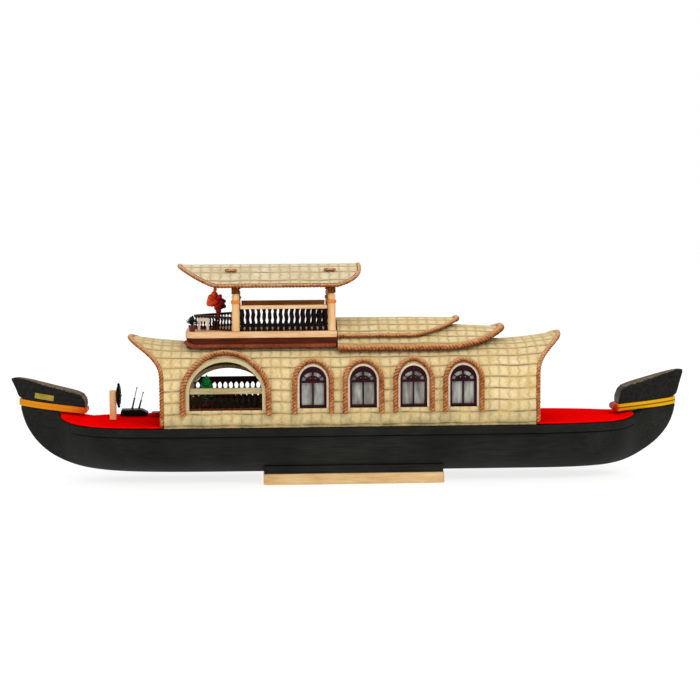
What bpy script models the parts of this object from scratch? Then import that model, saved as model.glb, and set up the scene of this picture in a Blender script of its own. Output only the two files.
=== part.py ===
"""Souvenir model of a south Indian rice barge houseboat on its plinth.

Metres, +X to the bow, +Y to port, +Z up, origin on the table under the middle
of the boat. Sizes are written in millimetres and turned to metres by MM.
"""

import math

import bmesh
import bpy
from mathutils import Vector

MM = 0.001
GAP = 0.3

# Plinth and cradle
PLINTH_FORE = 78.0
PLINTH_AFT = -84.0
PLINTH_HALF_WIDTH = 42.0
PLINTH_TOP = 10.0
PLINTH_EDGE = 1.2
CRADLE_TOP = 17.0
CRADLE_INSET = 1.0

# Hull, as stations from midship to the stem and to the stern, which is fuller
# x, half beam at the top, top height, keel height, half width of the flat floor
BOW_STATIONS = (
    (0.0, 53.0, 53.0, 11.0, 32.0),
    (90.0, 53.0, 53.0, 11.0, 32.0),
    (150.0, 52.4, 53.0, 11.0, 31.0),
    (190.0, 50.0, 53.0, 11.3, 27.5),
    (212.0, 46.0, 53.0, 12.0, 23.5),
    (228.0, 39.5, 53.2, 13.1, 18.5),
    (240.0, 31.0, 53.4, 14.6, 14.0),
    (250.0, 22.5, 54.4, 16.9, 9.8),
    (258.5, 15.0, 58.0, 19.8, 6.6),
    (262.5, 13.4, 64.4, 21.8, 5.9),
    (270.0, 11.2, 65.9, 25.4, 4.4),
    (281.0, 8.4, 67.3, 34.2, 2.9),
    (290.0, 4.9, 68.5, 46.2, 1.7),
    (294.6, 2.5, 69.1, 56.8, 1.0),
    (296.8, 1.0, 69.4, 66.0, 0.6),
)
STERN_STATIONS = (
    (90.0, 53.0, 53.0, 11.0, 32.0),
    (150.0, 52.6, 53.0, 11.0, 32.5),
    (190.0, 51.0, 53.0, 11.0, 32.5),
    (220.0, 46.0, 53.0, 11.4, 29.0),
    (238.0, 39.0, 53.0, 12.4, 23.0),
    (250.0, 30.5, 53.4, 14.2, 16.6),
    (259.0, 21.8, 56.0, 16.8, 11.4),
    (267.0, 15.5, 60.2, 20.2, 7.6),
    (277.5, 11.6, 61.4, 26.0, 5.0),
    (288.5, 8.0, 62.6, 35.0, 3.2),
    (296.2, 4.8, 63.4, 45.6, 2.0),
    (299.8, 2.7, 63.8, 54.5, 1.3),
    (301.4, 1.2, 64.0, 61.5, 0.8),
)
HULL_HEIGHT_STEPS = (0.0, 0.07, 0.17, 0.31, 0.5, 0.75, 1.0)
BILGE_POWER = 3.0
PLATFORM_LEVEL = 53.0

# Raised sheer strake along the hull's top edge, thinner towards its ends
WALE_FORE = 250.0
WALE_AFT = 259.0
WALE_HEIGHT = 7.2
WALE_THICKNESS = 1.4
WALE_TAPER = 60.0
WALE_THIN = 0.35
WALE_LEAN = 0.4

# Painted band between the hull and each prow block, its inner end rounded over
# x, half width, how much the band is drawn in above and below
BOW_BAND = (
    (236.6, 10.6, 2.0),
    (237.4, 11.4, 0.8),
    (239.2, 12.2, 0.0),
    (241.0, 12.8, 0.0),
    (254.0, 13.0, 0.0),
    (266.0, 12.4, 0.0),
    (278.0, 10.6, 0.0),
    (288.0, 7.4, 0.0),
    (294.5, 4.2, 0.0),
    (298.2, 1.6, 0.0),
)
STERN_BAND = (
    (242.6, 10.6, 2.2),
    (243.5, 11.4, 0.9),
    (245.2, 12.2, 0.0),
    (247.2, 12.8, 0.0),
    (259.0, 13.0, 0.0),
    (271.0, 12.4, 0.0),
    (283.0, 10.6, 0.0),
    (292.5, 7.4, 0.0),
    (298.6, 4.2, 0.0),
    (301.8, 1.6, 0.0),
)

# Raised prow block: x, half width, rise of its underside off the band, top height
BOW_PROW = (
    (237.7, 11.2, 0.0, 72.6),
    (238.5, 12.0, 0.0, 75.6),
    (240.6, 12.2, 0.0, 78.6),
    (245.0, 12.2, 0.0, 81.2),
    (254.0, 12.2, 0.0, 83.6),
    (266.0, 11.7, 0.0, 86.6),
    (278.0, 10.2, 0.0, 90.0),
    (288.0, 7.6, 0.0, 93.0),
    (295.6, 4.9, 0.0, 94.6),
    (298.4, 4.2, 2.0, 95.0),
    (300.6, 3.4, 7.6, 95.0),
    (303.0, 2.2, 12.4, 94.7),
    (304.9, 0.9, 15.6, 94.2),
)
STERN_PROW = (
    (247.4, 11.2, 0.0, 69.6),
    (248.0, 12.0, 0.0, 72.8),
    (249.6, 12.2, 0.0, 77.4),
    (252.8, 12.2, 0.0, 81.0),
    (259.5, 12.2, 0.0, 83.8),
    (269.0, 11.7, 0.0, 86.6),
    (281.0, 10.2, 0.0, 90.2),
    (291.0, 7.6, 0.0, 93.3),
    (299.0, 5.0, 0.0, 95.4),
    (302.4, 4.0, 2.2, 96.0),
    (304.8, 3.0, 10.4, 96.2),
    (307.0, 1.8, 17.2, 96.1),
    (308.4, 0.9, 20.8, 95.6),
)
PROW_CROWN = 0.35
PROW_SHOULDER = 0.82
PROW_EDGE_DROP = 0.4
ENDS = {
    "bow": {
        "sign": 1.0, "band": BOW_BAND, "prow": BOW_PROW,
        "inner": 239.4, "low": 62.3, "slope": 0.13, "height": 6.0,
    },
    "stern": {
        "sign": -1.0, "band": STERN_BAND, "prow": STERN_PROW,
        "inner": 244.0, "low": 58.4, "slope": 0.105, "height": 6.6,
    },
}

# Fore and aft decks: x, half width, underside height, crown of the upper side
FOREDECK_STATIONS = (
    (165.6, 51.2, 53.3, 0.0),
    (190.0, 49.4, 53.3, 0.1),
    (212.0, 45.4, 53.3, 0.2),
    (218.0, 43.2, 53.4, 0.5),
    (228.0, 38.9, 53.6, 2.4),
    (240.0, 30.4, 53.8, 5.6),
    (250.0, 22.0, 54.8, 6.0),
    (258.5, 14.6, 58.4, 4.0),
    (259.8, 13.8, 60.5, 2.4),
)
AFT_DECK_STATIONS = (
    (165.6, 51.4, 53.3, 0.0),
    (190.0, 50.4, 53.3, 0.1),
    (220.0, 45.4, 53.3, 0.1),
    (238.0, 38.4, 53.3, 0.4),
    (250.0, 29.9, 53.7, 1.2),
    (259.0, 21.2, 56.3, 0.8),
)
DECK_THICKNESS = 1.5
DECK_ACROSS_STEPS = 4

# Cabin of bent mat over the hull
CABIN_HALF_WIDTH = 51.0
CABIN_BASE = 53.3
CABIN_SPRING = 94.0
CABIN_RIDGE = 126.0
CABIN_ROUNDNESS = 2.4
CABIN_WALL = 2.0
CABIN_END = 165.0
FORE_HORN_REACH = 30.0
AFT_HORN_REACH = 25.0
CABIN_HORN_POWER = 2.6
CABIN_STRAIGHT = 140.0
CABIN_HORN_LIFT = 5.5
CABIN_LIFT_POWER = 1.6
CABIN_ARC_STEPS = 10
END_ROPE_RADIUS = 2.3
ROPE_GAP = 0.5

FLOOR_HALF_LENGTH = 165.2
FLOOR_HALF_WIDTH = 48.0
FLOOR_THICKNESS = 1.7

# Large lounge arches: the starboard one is lower, as seen through the port one
ARCH_X = 110.6
ARCH_HALF_WIDTH = 32.4
ARCH_SILL = 68.8
ARCHES = {
    "port": {"spring": 84.0, "apex": 111.6},
    "starboard": {"spring": 75.8, "apex": 96.6},
}
ARCH_STEPS = 20
ARCH_ROPE_OUT = 5.4
ARCH_ROPE_RISE = 6.6
ARCH_ROPE_FOOT = 64.6
ARCH_ROPE_RADIUS = 2.5

# Cabin windows
WINDOW_X = (33.5, -11.1, -55.8, -100.1)
WINDOW_HALF_WIDTH = 12.0
WINDOW_SILL = 70.3
WINDOW_SPRING = 94.5
WINDOW_APEX = 107.0
WINDOW_OUTER_Y = 48.2
WINDOW_DEPTH = 2.6
WINDOW_BORDER = 2.2
WINDOW_BAR = 1.5
TRANSOM_Z = 92.2
PANE_THICKNESS = 1.0
PANE_MARGIN = 2.0
PANE_BELOW_APEX = 1.2
OPENING_CUT_DEPTH = 30.0
OPENING_CUT_PROUD = 5.0

# Balustrades: flat fretwork with a baluster every pitch
BALUSTER_PITCH = 5.15
BALUSTER_HALF = 1.0
BALUSTER_BULB = 1.5
LOUNGE_RAIL = {"top": 88.6, "sill": 1.4, "rail": 5.2, "thickness": 2.4, "side": 47.6}
UPPER_RAIL = {"top": 160.7, "sill": 1.6, "rail": 3.6, "thickness": 2.6, "side": 33.0}

# Boards across the cabin, with a doorway in each: x, half doorway, doorway top
BULKHEADS = (
    ("lounge_bulkhead", 62.0, 11.0, 100.0),
    ("aft_bulkhead", -156.0, 10.0, 98.0),
)
BULKHEAD_THICKNESS = 2.0
BULKHEAD_CLEARANCE = 0.6
DOOR_SILL = 3.0

# Upper deck on the cabin roof
UPPER_FORE = 146.2
UPPER_AFT = 11.4
UPPER_HALF_WIDTH = 36.5
UPPER_BOTTOM = 131.8
UPPER_TOP = 137.4
UPPER_CORNER = 9.0
UPPER_CORNER_STEPS = 5
FASCIA_BOTTOM = 123.0
FASCIA_THICKNESS = 2.4
FASCIA_SETBACK = 0.8
UNDER_FASCIA_MIDDLE = 60.0
UNDER_FASCIA_LENGTH = 240.0

POST_X = (101.2, 15.8)
POST_Y = 33.0
POST_CLEARANCE = 4.2
# Turned post: radius and height from the top down, above the deck at last
POST_PROFILE = (
    (0.0, 181.6), (2.3, 181.6), (2.3, 170.6), (3.2, 169.6), (3.4, 166.4),
    (2.9, 165.6), (3.7, 164.4), (3.7, 162.4), (3.3, 161.4), (3.5, 150.0),
)
POST_RADIUS = 3.5

# Balcony rail: it runs inwards from the fore posts to a point, x and side
BALCONY_PLAN = (
    (105.4, 31.8), (112.0, 26.4), (119.0, 19.8), (126.0, 13.0),
    (132.0, 7.4), (136.4, 3.2), (138.6, 0.0),
)
BALCONY_TOP = 150.4
BALCONY_THICKNESS = 2.2
BALCONY_SILL = 1.6
BALCONY_CAP = 2.4
BALCONY_GAP_WIDTH = 1.9
BALCONY_GAP_PITCH = 4.1
BALCONY_GAPS = 6

# Roofs of bent mat: the canopy over the upper deck and two tiers behind it
# Each end reaches out from eave to ridge by 1 - (1 - share)^bow, to a power
CANOPY = {
    "half_width": 39.8, "eave": 180.2, "ridge": 195.8, "wall": 1.8, "tip_drop": 0.0,
    "fore": 118.0, "fore_reach": 32.0, "fore_bow": 1.0, "fore_power": 0.8,
    "aft": 11.0, "aft_reach": 18.7, "aft_bow": 3.0, "aft_power": 1.0,
}
LOWER_TIER = {
    "half_width": 39.7, "eave": 125.3, "ridge": 140.4, "wall": 2.0, "tip_drop": 3.0,
    "fore": 10.6, "fore_reach": 0.0, "fore_bow": 1.0, "fore_power": 1.0,
    "aft": -86.0, "aft_reach": 50.0, "aft_bow": 1.0, "aft_power": 0.55,
}
UPPER_TIER = {
    "half_width": 34.6, "eave": 134.8, "ridge": 146.6, "wall": 2.0, "tip_drop": 0.8,
    "fore": 10.6, "fore_reach": 0.0, "fore_bow": 1.0, "fore_power": 1.0,
    "aft": -55.0, "aft_reach": 42.0, "aft_bow": 1.0, "aft_power": 0.68,
}
ROOF_SHARES = (0.0, 0.03, 0.1, 0.2, 0.34, 0.5, 0.68, 0.85, 0.96)
ROOF_STATIONS = (0.0, 0.1, 0.2, 0.4, 0.8, 1.0)
DROOP_START = 0.4
CANOPY_ROPE_RADIUS = 1.8
LOWER_ROPE_RADIUS = 3.1
UPPER_ROPE_RADIUS = 1.8
EAVE_ROPE_STEP = 24.0

# Helm wheel on a post on the foredeck
HELM_X = 208.8
HELM_Z = 77.4
HELM_RADIUS = 11.3
HELM_THICKNESS = 4.2
HELM_BORE = 1.3
HELM_PIN = 0.9
HELM_PIN_LENGTH = 6.0
HELM_PIN_SHARE_AFT = 0.4
HELM_GRIPS = 8
HELM_RIM_OUTER = 0.78
HELM_RIM_INNER = 0.60
HELM_HUB = 0.26
HELM_GRIP_HALF = 0.75
HELM_SPOKE_HALF = 0.6
HELM_POST_FORE = 217.0
HELM_POST_AFT = 211.2
HELM_POST_HALF = 2.8
HELM_POST_TOP = 82.0
FOREDECK_TOP = 55.3

# Black locker on the foredeck with two thin levers, and a red step behind it
LOCKER_FORE = 210.0
LOCKER_AFT = 184.0
LOCKER_SIDES = (-36.0, -22.0)
LOCKER_TOP = 60.6
LOCKER_SLOPE = 5.0
LOCKER_FORE_SHARE = 0.2
LOCKER_NOSE_SHARE = 0.3
LOCKER_EDGE = 0.8
# name, foot x, head x, head z
LEVERS = (
    ("lever_fore", 199.2, 194.4, 81.6),
    ("lever_aft", 193.0, 188.6, 77.2),
)
LEVER_Y = -29.0
LEVER_RADIUS = 0.7
STEP_LOW = (173.2, -30.0, 55.3)
STEP_HIGH = (181.4, -15.0, 59.0)
STEP_EDGE = 1.2

# Cream stool on the balcony
STOOL_LOW = (125.4, 16.6, 137.7)
STOOL_HIGH = (135.4, 24.2, 148.6)
STOOL_LEG = 2.2
STOOL_SEAT = 2.6

# Pots and plants: name, x, y, foot height, radius, height, slot
POTS = (
    ("balcony_pot", 140.0, 30.2, 137.7, 3.4, 5.4, "terracotta"),
    ("shrub_pot", 119.6, 3.0, 137.7, 3.2, 7.0, "terracotta"),
    ("lounge_pot", 128.0, 28.0, 55.3, 3.8, 14.0, "terracotta"),
)
PLANTS = (
    ("balcony_plant", 140.0, 30.2, 143.4, 5.4, 8.6, "green_leaf"),
    ("red_shrub", 119.6, 3.0, 145.0, 9.6, 30.4, "red_leaf"),
    ("lounge_plant", 128.0, 28.0, 69.6, 5.4, 23.0, "green_leaf"),
)
POT_PROFILE = ((0.0, 1.0), (1.0, 1.0), (1.0, 0.8), (0.7, 0.0), (0.0, 0.0))
PLANT_PROFILE = (
    (0.0, 1.0), (0.6, 0.88), (1.0, 0.6), (0.8, 0.3), (0.15, 0.12), (0.12, 0.0), (0.0, 0.0),
)

PAINT = {
    "black_painted_wood": ((0.013, 0.014, 0.011), 0.35, 0.0),
    "red_gloss_wood": ((0.72, 0.004, 0.004), 0.2, 0.0),
    "gold_paint": ((0.75, 0.33, 0.02), 0.4, 0.0),
    "bamboo_mat": ((0.76, 0.66, 0.42), 0.8, 0.0),
    "canopy_mat": ((0.68, 0.62, 0.38), 0.8, 0.0),
    "coir_rope": ((0.42, 0.14, 0.04), 0.9, 0.0),
    "light_wood": ((0.80, 0.50, 0.24), 0.6, 0.0),
    "brown_wood": ((0.15, 0.03, 0.01), 0.5, 0.0),
    "maroon_wood": ((0.05, 0.008, 0.01), 0.5, 0.0),
    "window_pane": ((0.36, 0.39, 0.36), 0.15, 0.0),
    "plinth_wood": ((0.72, 0.42, 0.16), 0.4, 0.0),
    "green_leaf": ((0.03, 0.10, 0.02), 0.6, 0.0),
    "red_leaf": ((0.45, 0.03, 0.02), 0.6, 0.0),
    "terracotta": ((0.30, 0.06, 0.03), 0.7, 0.0),
    "grey_metal": ((0.30, 0.30, 0.29), 0.4, 0.9),
    "cream_wood": ((0.78, 0.66, 0.40), 0.6, 0.0),
}

for old_object in list(bpy.data.objects):
    bpy.data.objects.remove(old_object, do_unlink=True)

boat = bpy.data.collections.new("houseboat_model")
cutters = bpy.data.collections.new("cutters")
bpy.context.scene.collection.children.link(boat)
bpy.context.scene.collection.children.link(cutters)


def painted(obj, slot):
    """Give an object its own material in the colour of its slot."""
    colour, roughness, metallic = PAINT[slot]
    material = bpy.data.materials.new(obj.name + "_" + slot)
    material.use_nodes = True
    shader = material.node_tree.nodes["Principled BSDF"]
    shader.inputs["Base Color"].default_value = (*colour, 1.0)
    shader.inputs["Roughness"].default_value = roughness
    shader.inputs["Metallic"].default_value = metallic
    obj.data.materials.clear()
    obj.data.materials.append(material)
    return obj


def into(obj, collection):
    """Move an object from the scene's own collection to one of ours."""
    for home in list(obj.users_collection):
        home.objects.unlink(obj)
    collection.objects.link(obj)
    return obj


def smooth(obj, angle=40.0):
    """Shade round surfaces smooth and keep sharp edges."""
    obj.data.shade_smooth()
    obj.data.set_sharp_from_angle(angle=math.radians(angle))
    return obj


def as_cutter(obj):
    """A cutter stays out of the model and is drawn as wires."""
    into(obj, cutters)
    obj.hide_render = True
    obj.display_type = "WIRE"
    return obj


def boolean(obj, other, operation):
    """Cut or join a mesh with the exact solver."""
    modifier = obj.modifiers.new(operation.lower(), "BOOLEAN")
    modifier.operation = operation
    modifier.solver = "EXACT"
    modifier.object = as_cutter(other)
    return obj


def box(name, low, high):
    """A block between two corners in millimetres."""
    bpy.ops.mesh.primitive_cube_add(size=1.0)
    obj = bpy.context.object
    obj.name = name
    for corner in obj.data.vertices:
        corner.co = [
            MM * (low[axis] if corner.co[axis] < 0 else high[axis]) for axis in range(3)
        ]
    return into(obj, boat)


def bevelled(obj, width, segments=2):
    """Round the edges of a block."""
    modifier = obj.modifiers.new("rounded_edges", "BEVEL")
    modifier.width = width * MM
    modifier.segments = segments
    modifier.limit_method = "ANGLE"
    return obj


def loft(name, sections):
    """Skin closed sections of equal length and cap both ends."""
    mesh = bmesh.new()
    rings = [[mesh.verts.new(Vector(p) * MM) for p in section] for section in sections]
    for ring, following in zip(rings, rings[1:]):
        for i in range(len(ring)):
            j = (i + 1) % len(ring)
            mesh.faces.new((ring[i], ring[j], following[j], following[i]))
    mesh.faces.new(list(reversed(rings[0])))
    mesh.faces.new(rings[-1])
    bmesh.ops.recalc_face_normals(mesh, faces=mesh.faces)
    data = bpy.data.meshes.new(name)
    mesh.to_mesh(data)
    mesh.free()
    obj = bpy.data.objects.new(name, data)
    boat.objects.link(obj)
    return obj


def flat_plate(name, outlines, thickness, place, upright=True):
    """A flat outline with holes, as thick as asked, centred on its place.

    Upright plates stand along X and Z, the others lie along X and Y.
    """
    curve = bpy.data.curves.new(name, "CURVE")
    curve.dimensions = "2D"
    curve.fill_mode = "BOTH"
    curve.extrude = 0.5 * thickness * MM
    for outline in outlines:
        spline = curve.splines.new("POLY")
        spline.points.add(len(outline) - 1)
        for point, (u, v) in zip(spline.points, outline):
            point.co = (u * MM, v * MM, 0.0, 1.0)
        spline.use_cyclic_u = True
    obj = bpy.data.objects.new(name, curve)
    obj.location = Vector(place) * MM
    if upright:
        obj.rotation_euler = (math.pi / 2, 0.0, 0.0)
    boat.objects.link(obj)
    return obj


def rope(name, points, radius, closed=False, sides=2):
    """A round cord laid through its points."""
    curve = bpy.data.curves.new(name, "CURVE")
    curve.dimensions = "3D"
    curve.bevel_depth = radius * MM
    curve.bevel_resolution = sides
    curve.use_fill_caps = True
    spline = curve.splines.new("POLY")
    spline.points.add(len(points) - 1)
    for point, place in zip(spline.points, points):
        point.co = (*(Vector(place) * MM), 1.0)
    spline.use_cyclic_u = closed
    obj = bpy.data.objects.new(name, curve)
    boat.objects.link(obj)
    return obj


def as_mesh(obj):
    """Make a curve object a welded mesh, so that it can be cut or joined."""
    bpy.context.view_layer.update()
    evaluated = obj.evaluated_get(bpy.context.evaluated_depsgraph_get())
    data = bpy.data.meshes.new_from_object(evaluated)
    welded = bmesh.new()
    welded.from_mesh(data)
    bmesh.ops.remove_doubles(welded, verts=welded.verts, dist=0.00001)
    welded.to_mesh(data)
    welded.free()
    name = obj.name
    result = bpy.data.objects.new(name + "_mesh", data)
    result.matrix_world = obj.matrix_world
    bpy.data.objects.remove(obj, do_unlink=True)
    result.name = name
    boat.objects.link(result)
    return result


def turned(name, profile, place, sides=12):
    """A turned piece from radius and height pairs, from the top down."""
    mesh = bmesh.new()
    corners = [mesh.verts.new((radius * MM, 0.0, height * MM)) for radius, height in profile]
    for upper, lower in zip(corners, corners[1:]):
        mesh.edges.new((upper, lower))
    data = bpy.data.meshes.new(name)
    mesh.to_mesh(data)
    mesh.free()
    obj = bpy.data.objects.new(name, data)
    obj.location = Vector(place) * MM
    boat.objects.link(obj)
    screw = obj.modifiers.new("turned", "SCREW")
    screw.axis = "Z"
    screw.steps = sides
    screw.render_steps = sides
    screw.use_merge_vertices = True
    screw.merge_threshold = 0.00001
    screw.use_smooth_shade = True
    return obj


def hull_stations():
    """The stern's stations, negative in x, then the bow's."""
    return [(-row[0], *row[1:]) for row in reversed(STERN_STATIONS)] + list(BOW_STATIONS)


def hull_side(station, fraction):
    """Half width and height of the hull's side at a fraction of its depth."""
    _, half_beam, top, keel, floor_half = station
    width = floor_half + (half_beam - floor_half) * (1 - (1 - fraction) ** BILGE_POWER)
    return width, keel + (top - keel) * fraction


def hull_section(station, grow=0.0):
    """One closed section of the hull, from the port rim round to starboard."""
    side = [hull_side(station, fraction) for fraction in HULL_HEIGHT_STEPS]
    port = [(station[0], y + grow, z) for y, z in reversed(side)]
    starboard = [(station[0], -y - grow, z) for y, z in side]
    lowered = [(x, y, z - grow if z == side[0][1] else z) for x, y, z in port + starboard]
    return lowered


def build_stand():
    """Plinth of pale wood with the black block that the hull sits in."""
    plinth = box(
        "plinth",
        (PLINTH_AFT, -PLINTH_HALF_WIDTH, 0.0),
        (PLINTH_FORE, PLINTH_HALF_WIDTH, PLINTH_TOP),
    )
    painted(bevelled(plinth, PLINTH_EDGE), "plinth_wood")
    half_width = PLINTH_HALF_WIDTH - CRADLE_INSET
    cradle = box(
        "cradle_block",
        (PLINTH_AFT + CRADLE_INSET, -half_width, PLINTH_TOP + GAP),
        (PLINTH_FORE - CRADLE_INSET, half_width, CRADLE_TOP),
    )
    ends = [(x, *BOW_STATIONS[0][1:]) for x in (2 * PLINTH_AFT, 2 * PLINTH_FORE)]
    seat = loft("hull_seat", [hull_section(row, GAP) for row in ends])
    boolean(cradle, seat, "DIFFERENCE")
    painted(cradle, "black_painted_wood")


def build_hull():
    """Solid carved hull with its raised strakes."""
    stations = hull_stations()
    painted(smooth(loft("hull", [hull_section(row) for row in stations])), "black_painted_wood")
    for side, sign in (("port", 1.0), ("starboard", -1.0)):
        sections = []
        for row in stations:
            x, half_beam, top, keel = row[:4]
            to_end = min(WALE_FORE - x, WALE_AFT + x)
            if to_end < 0:
                continue
            low_width = hull_side(row, 1 - WALE_HEIGHT / (top - keel))[0]
            inner_top = sign * (half_beam + GAP)
            inner_low = sign * (max(low_width, half_beam - WALE_LEAN) + GAP)
            outer = sign * WALE_THICKNESS * max(min(to_end / WALE_TAPER, 1.0), WALE_THIN)
            low = top - WALE_HEIGHT
            sections.append([
                (x, inner_top, top), (x, inner_low, low),
                (x, inner_low + outer, low), (x, inner_top + outer, top),
            ])
        painted(loft("wale_" + side, sections), "black_painted_wood")


def band_base(end, x):
    """Height of a painted band's underside."""
    return end["low"] + end["slope"] * (x - end["inner"])


def build_prows():
    """Painted bands and the raised blocks on the two ends."""
    for name, end in ENDS.items():
        sign = end["sign"]
        band_sections = []
        for x, half, drawn_in in end["band"]:
            low = band_base(end, x) + drawn_in
            high = band_base(end, x) + end["height"] - drawn_in
            band_sections.append([
                (sign * x, half, low), (sign * x, half, high),
                (sign * x, -half, high), (sign * x, -half, low),
            ])
        painted(loft(name + "_band", band_sections), "gold_paint")
        prow_sections = []
        for x, half, rise, top in end["prow"]:
            base = band_base(end, x) + end["height"] + GAP + rise
            crown = PROW_CROWN * min(half, top - base)
            shoulder = PROW_SHOULDER * half
            prow_sections.append([
                (sign * x, half, base), (sign * x, half, top - PROW_EDGE_DROP * crown),
                (sign * x, shoulder, top), (sign * x, -shoulder, top),
                (sign * x, -half, top - PROW_EDGE_DROP * crown), (sign * x, -half, base),
            ])
        painted(loft(name + "_prow", prow_sections), "black_painted_wood")


def build_decks():
    """Red decks at both ends, crowned where they rise to the prows."""
    for name, sign, stations in (
        ("foredeck", 1.0, FOREDECK_STATIONS),
        ("aft_deck", -1.0, AFT_DECK_STATIONS),
    ):
        sections = []
        for x, half, base, crown in stations:
            upper = []
            for step in range(DECK_ACROSS_STEPS + 1):
                across = 1.0 - 2.0 * step / DECK_ACROSS_STEPS
                height = base + DECK_THICKNESS + crown * (1.0 - across * across)
                upper.append((sign * x, across * half, height))
            sections.append([(sign * x, half, base), *upper, (sign * x, -half, base)])
        painted(loft(name, sections), "red_gloss_wood")
    floor = box(
        "cabin_floor",
        (-FLOOR_HALF_LENGTH, -FLOOR_HALF_WIDTH, PLATFORM_LEVEL + GAP),
        (FLOOR_HALF_LENGTH, FLOOR_HALF_WIDTH, PLATFORM_LEVEL + GAP + FLOOR_THICKNESS),
    )
    painted(floor, "brown_wood")


def cabin_point(angle, inset=0.0):
    """Half width and height on the cabin's arch: 0 at the spring, a right angle at the ridge."""
    power = 2.0 / CABIN_ROUNDNESS
    half = CABIN_HALF_WIDTH - inset
    rise = CABIN_RIDGE - CABIN_SPRING - inset
    width = half * max(math.cos(angle), 0.0) ** power
    return width, CABIN_SPRING + rise * max(math.sin(angle), 0.0) ** power


def cabin_width_at(height, inset=0.0):
    """Half width of the cabin at a height."""
    if height <= CABIN_SPRING:
        return CABIN_HALF_WIDTH - inset
    rise = CABIN_RIDGE - CABIN_SPRING - inset
    share = min((height - CABIN_SPRING) / rise, 1.0)
    return (CABIN_HALF_WIDTH - inset) * (1 - share ** CABIN_ROUNDNESS) ** (1 / CABIN_ROUNDNESS)


def cabin_normal(angle):
    """Outward direction, across and up, of the cabin's arch at an angle."""
    width, height = cabin_point(angle)
    rise = CABIN_RIDGE - CABIN_SPRING
    across = (width / CABIN_HALF_WIDTH) ** (CABIN_ROUNDNESS - 1) / CABIN_HALF_WIDTH
    up = ((height - CABIN_SPRING) / rise) ** (CABIN_ROUNDNESS - 1) / rise
    length = math.hypot(across, up)
    return across / length, up / length


def cabin_end_x(angle, sign):
    """How far the mat reaches towards the bow (sign 1) or the stern at an angle of the arch."""
    reach = FORE_HORN_REACH if sign > 0 else AFT_HORN_REACH
    return CABIN_END + reach * math.sin(angle) ** CABIN_HORN_POWER


def cabin_lift(x, angle):
    """How much the mat sweeps up towards its horn."""
    reach = max(abs(x) - CABIN_STRAIGHT, 0.0)
    full = CABIN_END + (FORE_HORN_REACH if x > 0 else AFT_HORN_REACH) - CABIN_STRAIGHT
    return CABIN_HORN_LIFT * (reach / full) ** CABIN_LIFT_POWER * math.sin(angle)


def cabin_arch_angles():
    """Angles of the arch, finer near the spring where it turns most."""
    return [0.5 * math.pi * step / CABIN_ARC_STEPS for step in range(CABIN_ARC_STEPS + 1)]


def cabin_outline(inset):
    """Closed outline of the cabin's section as y and z pairs, for boards inside it."""
    low = PLATFORM_LEVEL + GAP + FLOOR_THICKNESS + GAP
    arch = [cabin_point(angle, inset) for angle in cabin_arch_angles()]
    half = CABIN_HALF_WIDTH - inset
    port = [(half, low)] + arch
    return port + [(-y, z) for y, z in reversed(port[:-1])]


def build_cabin_shell(side, sign):
    """One half of the mat, from the rim of the hull up to the ridge."""
    mesh = bmesh.new()
    profile = [(CABIN_HALF_WIDTH, CABIN_BASE, 0.0)]
    for angle in cabin_arch_angles():
        width, height = cabin_point(angle)
        profile.append((max(width, 0.5 * GAP), height, angle))
    end_steps = (0.0, 0.35, 0.65, 0.85, 1.0)
    stations = [-step for step in reversed(end_steps)] + list(end_steps)
    columns = []
    for index, step in enumerate(stations):
        towards_bow = -1.0 if index < len(end_steps) else 1.0
        column = []
        for width, height, angle in profile:
            end = cabin_end_x(angle, towards_bow)
            x = towards_bow * (CABIN_STRAIGHT + (end - CABIN_STRAIGHT) * abs(step))
            z = height + cabin_lift(x, angle)
            column.append(mesh.verts.new(Vector((x, sign * width, z)) * MM))
        columns.append(column)
    for column, following in zip(columns, columns[1:]):
        for i in range(len(profile) - 1):
            mesh.faces.new((column[i], following[i], following[i + 1], column[i + 1]))
    if sign > 0:
        bmesh.ops.reverse_faces(mesh, faces=mesh.faces)
    data = bpy.data.meshes.new("cabin_shell_" + side)
    mesh.to_mesh(data)
    mesh.free()
    shell = bpy.data.objects.new("cabin_shell_" + side, data)
    boat.objects.link(shell)
    wall = shell.modifiers.new("wall", "SOLIDIFY")
    wall.thickness = CABIN_WALL * MM
    wall.offset = -1.0
    wall.use_even_offset = True
    return shell


def arched_outline(centre, half_width, sill, spring, apex, steps=12):
    """A round-headed opening as x and z pairs."""
    points = [(centre - half_width, sill), (centre + half_width, sill)]
    for step in range(steps + 1):
        angle = math.pi * step / steps
        points.append((
            centre + half_width * math.cos(angle),
            spring + (apex - spring) * math.sin(angle),
        ))
    return points


def opening_cutter(name, outline, sign):
    """A cutter that goes through one side wall of the cabin."""
    middle = sign * (CABIN_HALF_WIDTH + OPENING_CUT_PROUD - 0.5 * OPENING_CUT_DEPTH)
    return as_mesh(flat_plate(name, [outline], OPENING_CUT_DEPTH, (0.0, middle, 0.0)))


def on_cabin(x, height, lift, sign):
    """A point a little outside the cabin's side, square to its surface."""
    step = 0.5
    width = cabin_width_at(height)
    slope = (cabin_width_at(height + step) - cabin_width_at(height - step)) / (2 * step)
    length = math.hypot(1.0, slope)
    return (x, sign * (width + lift / length), height - lift * slope / length)


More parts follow.
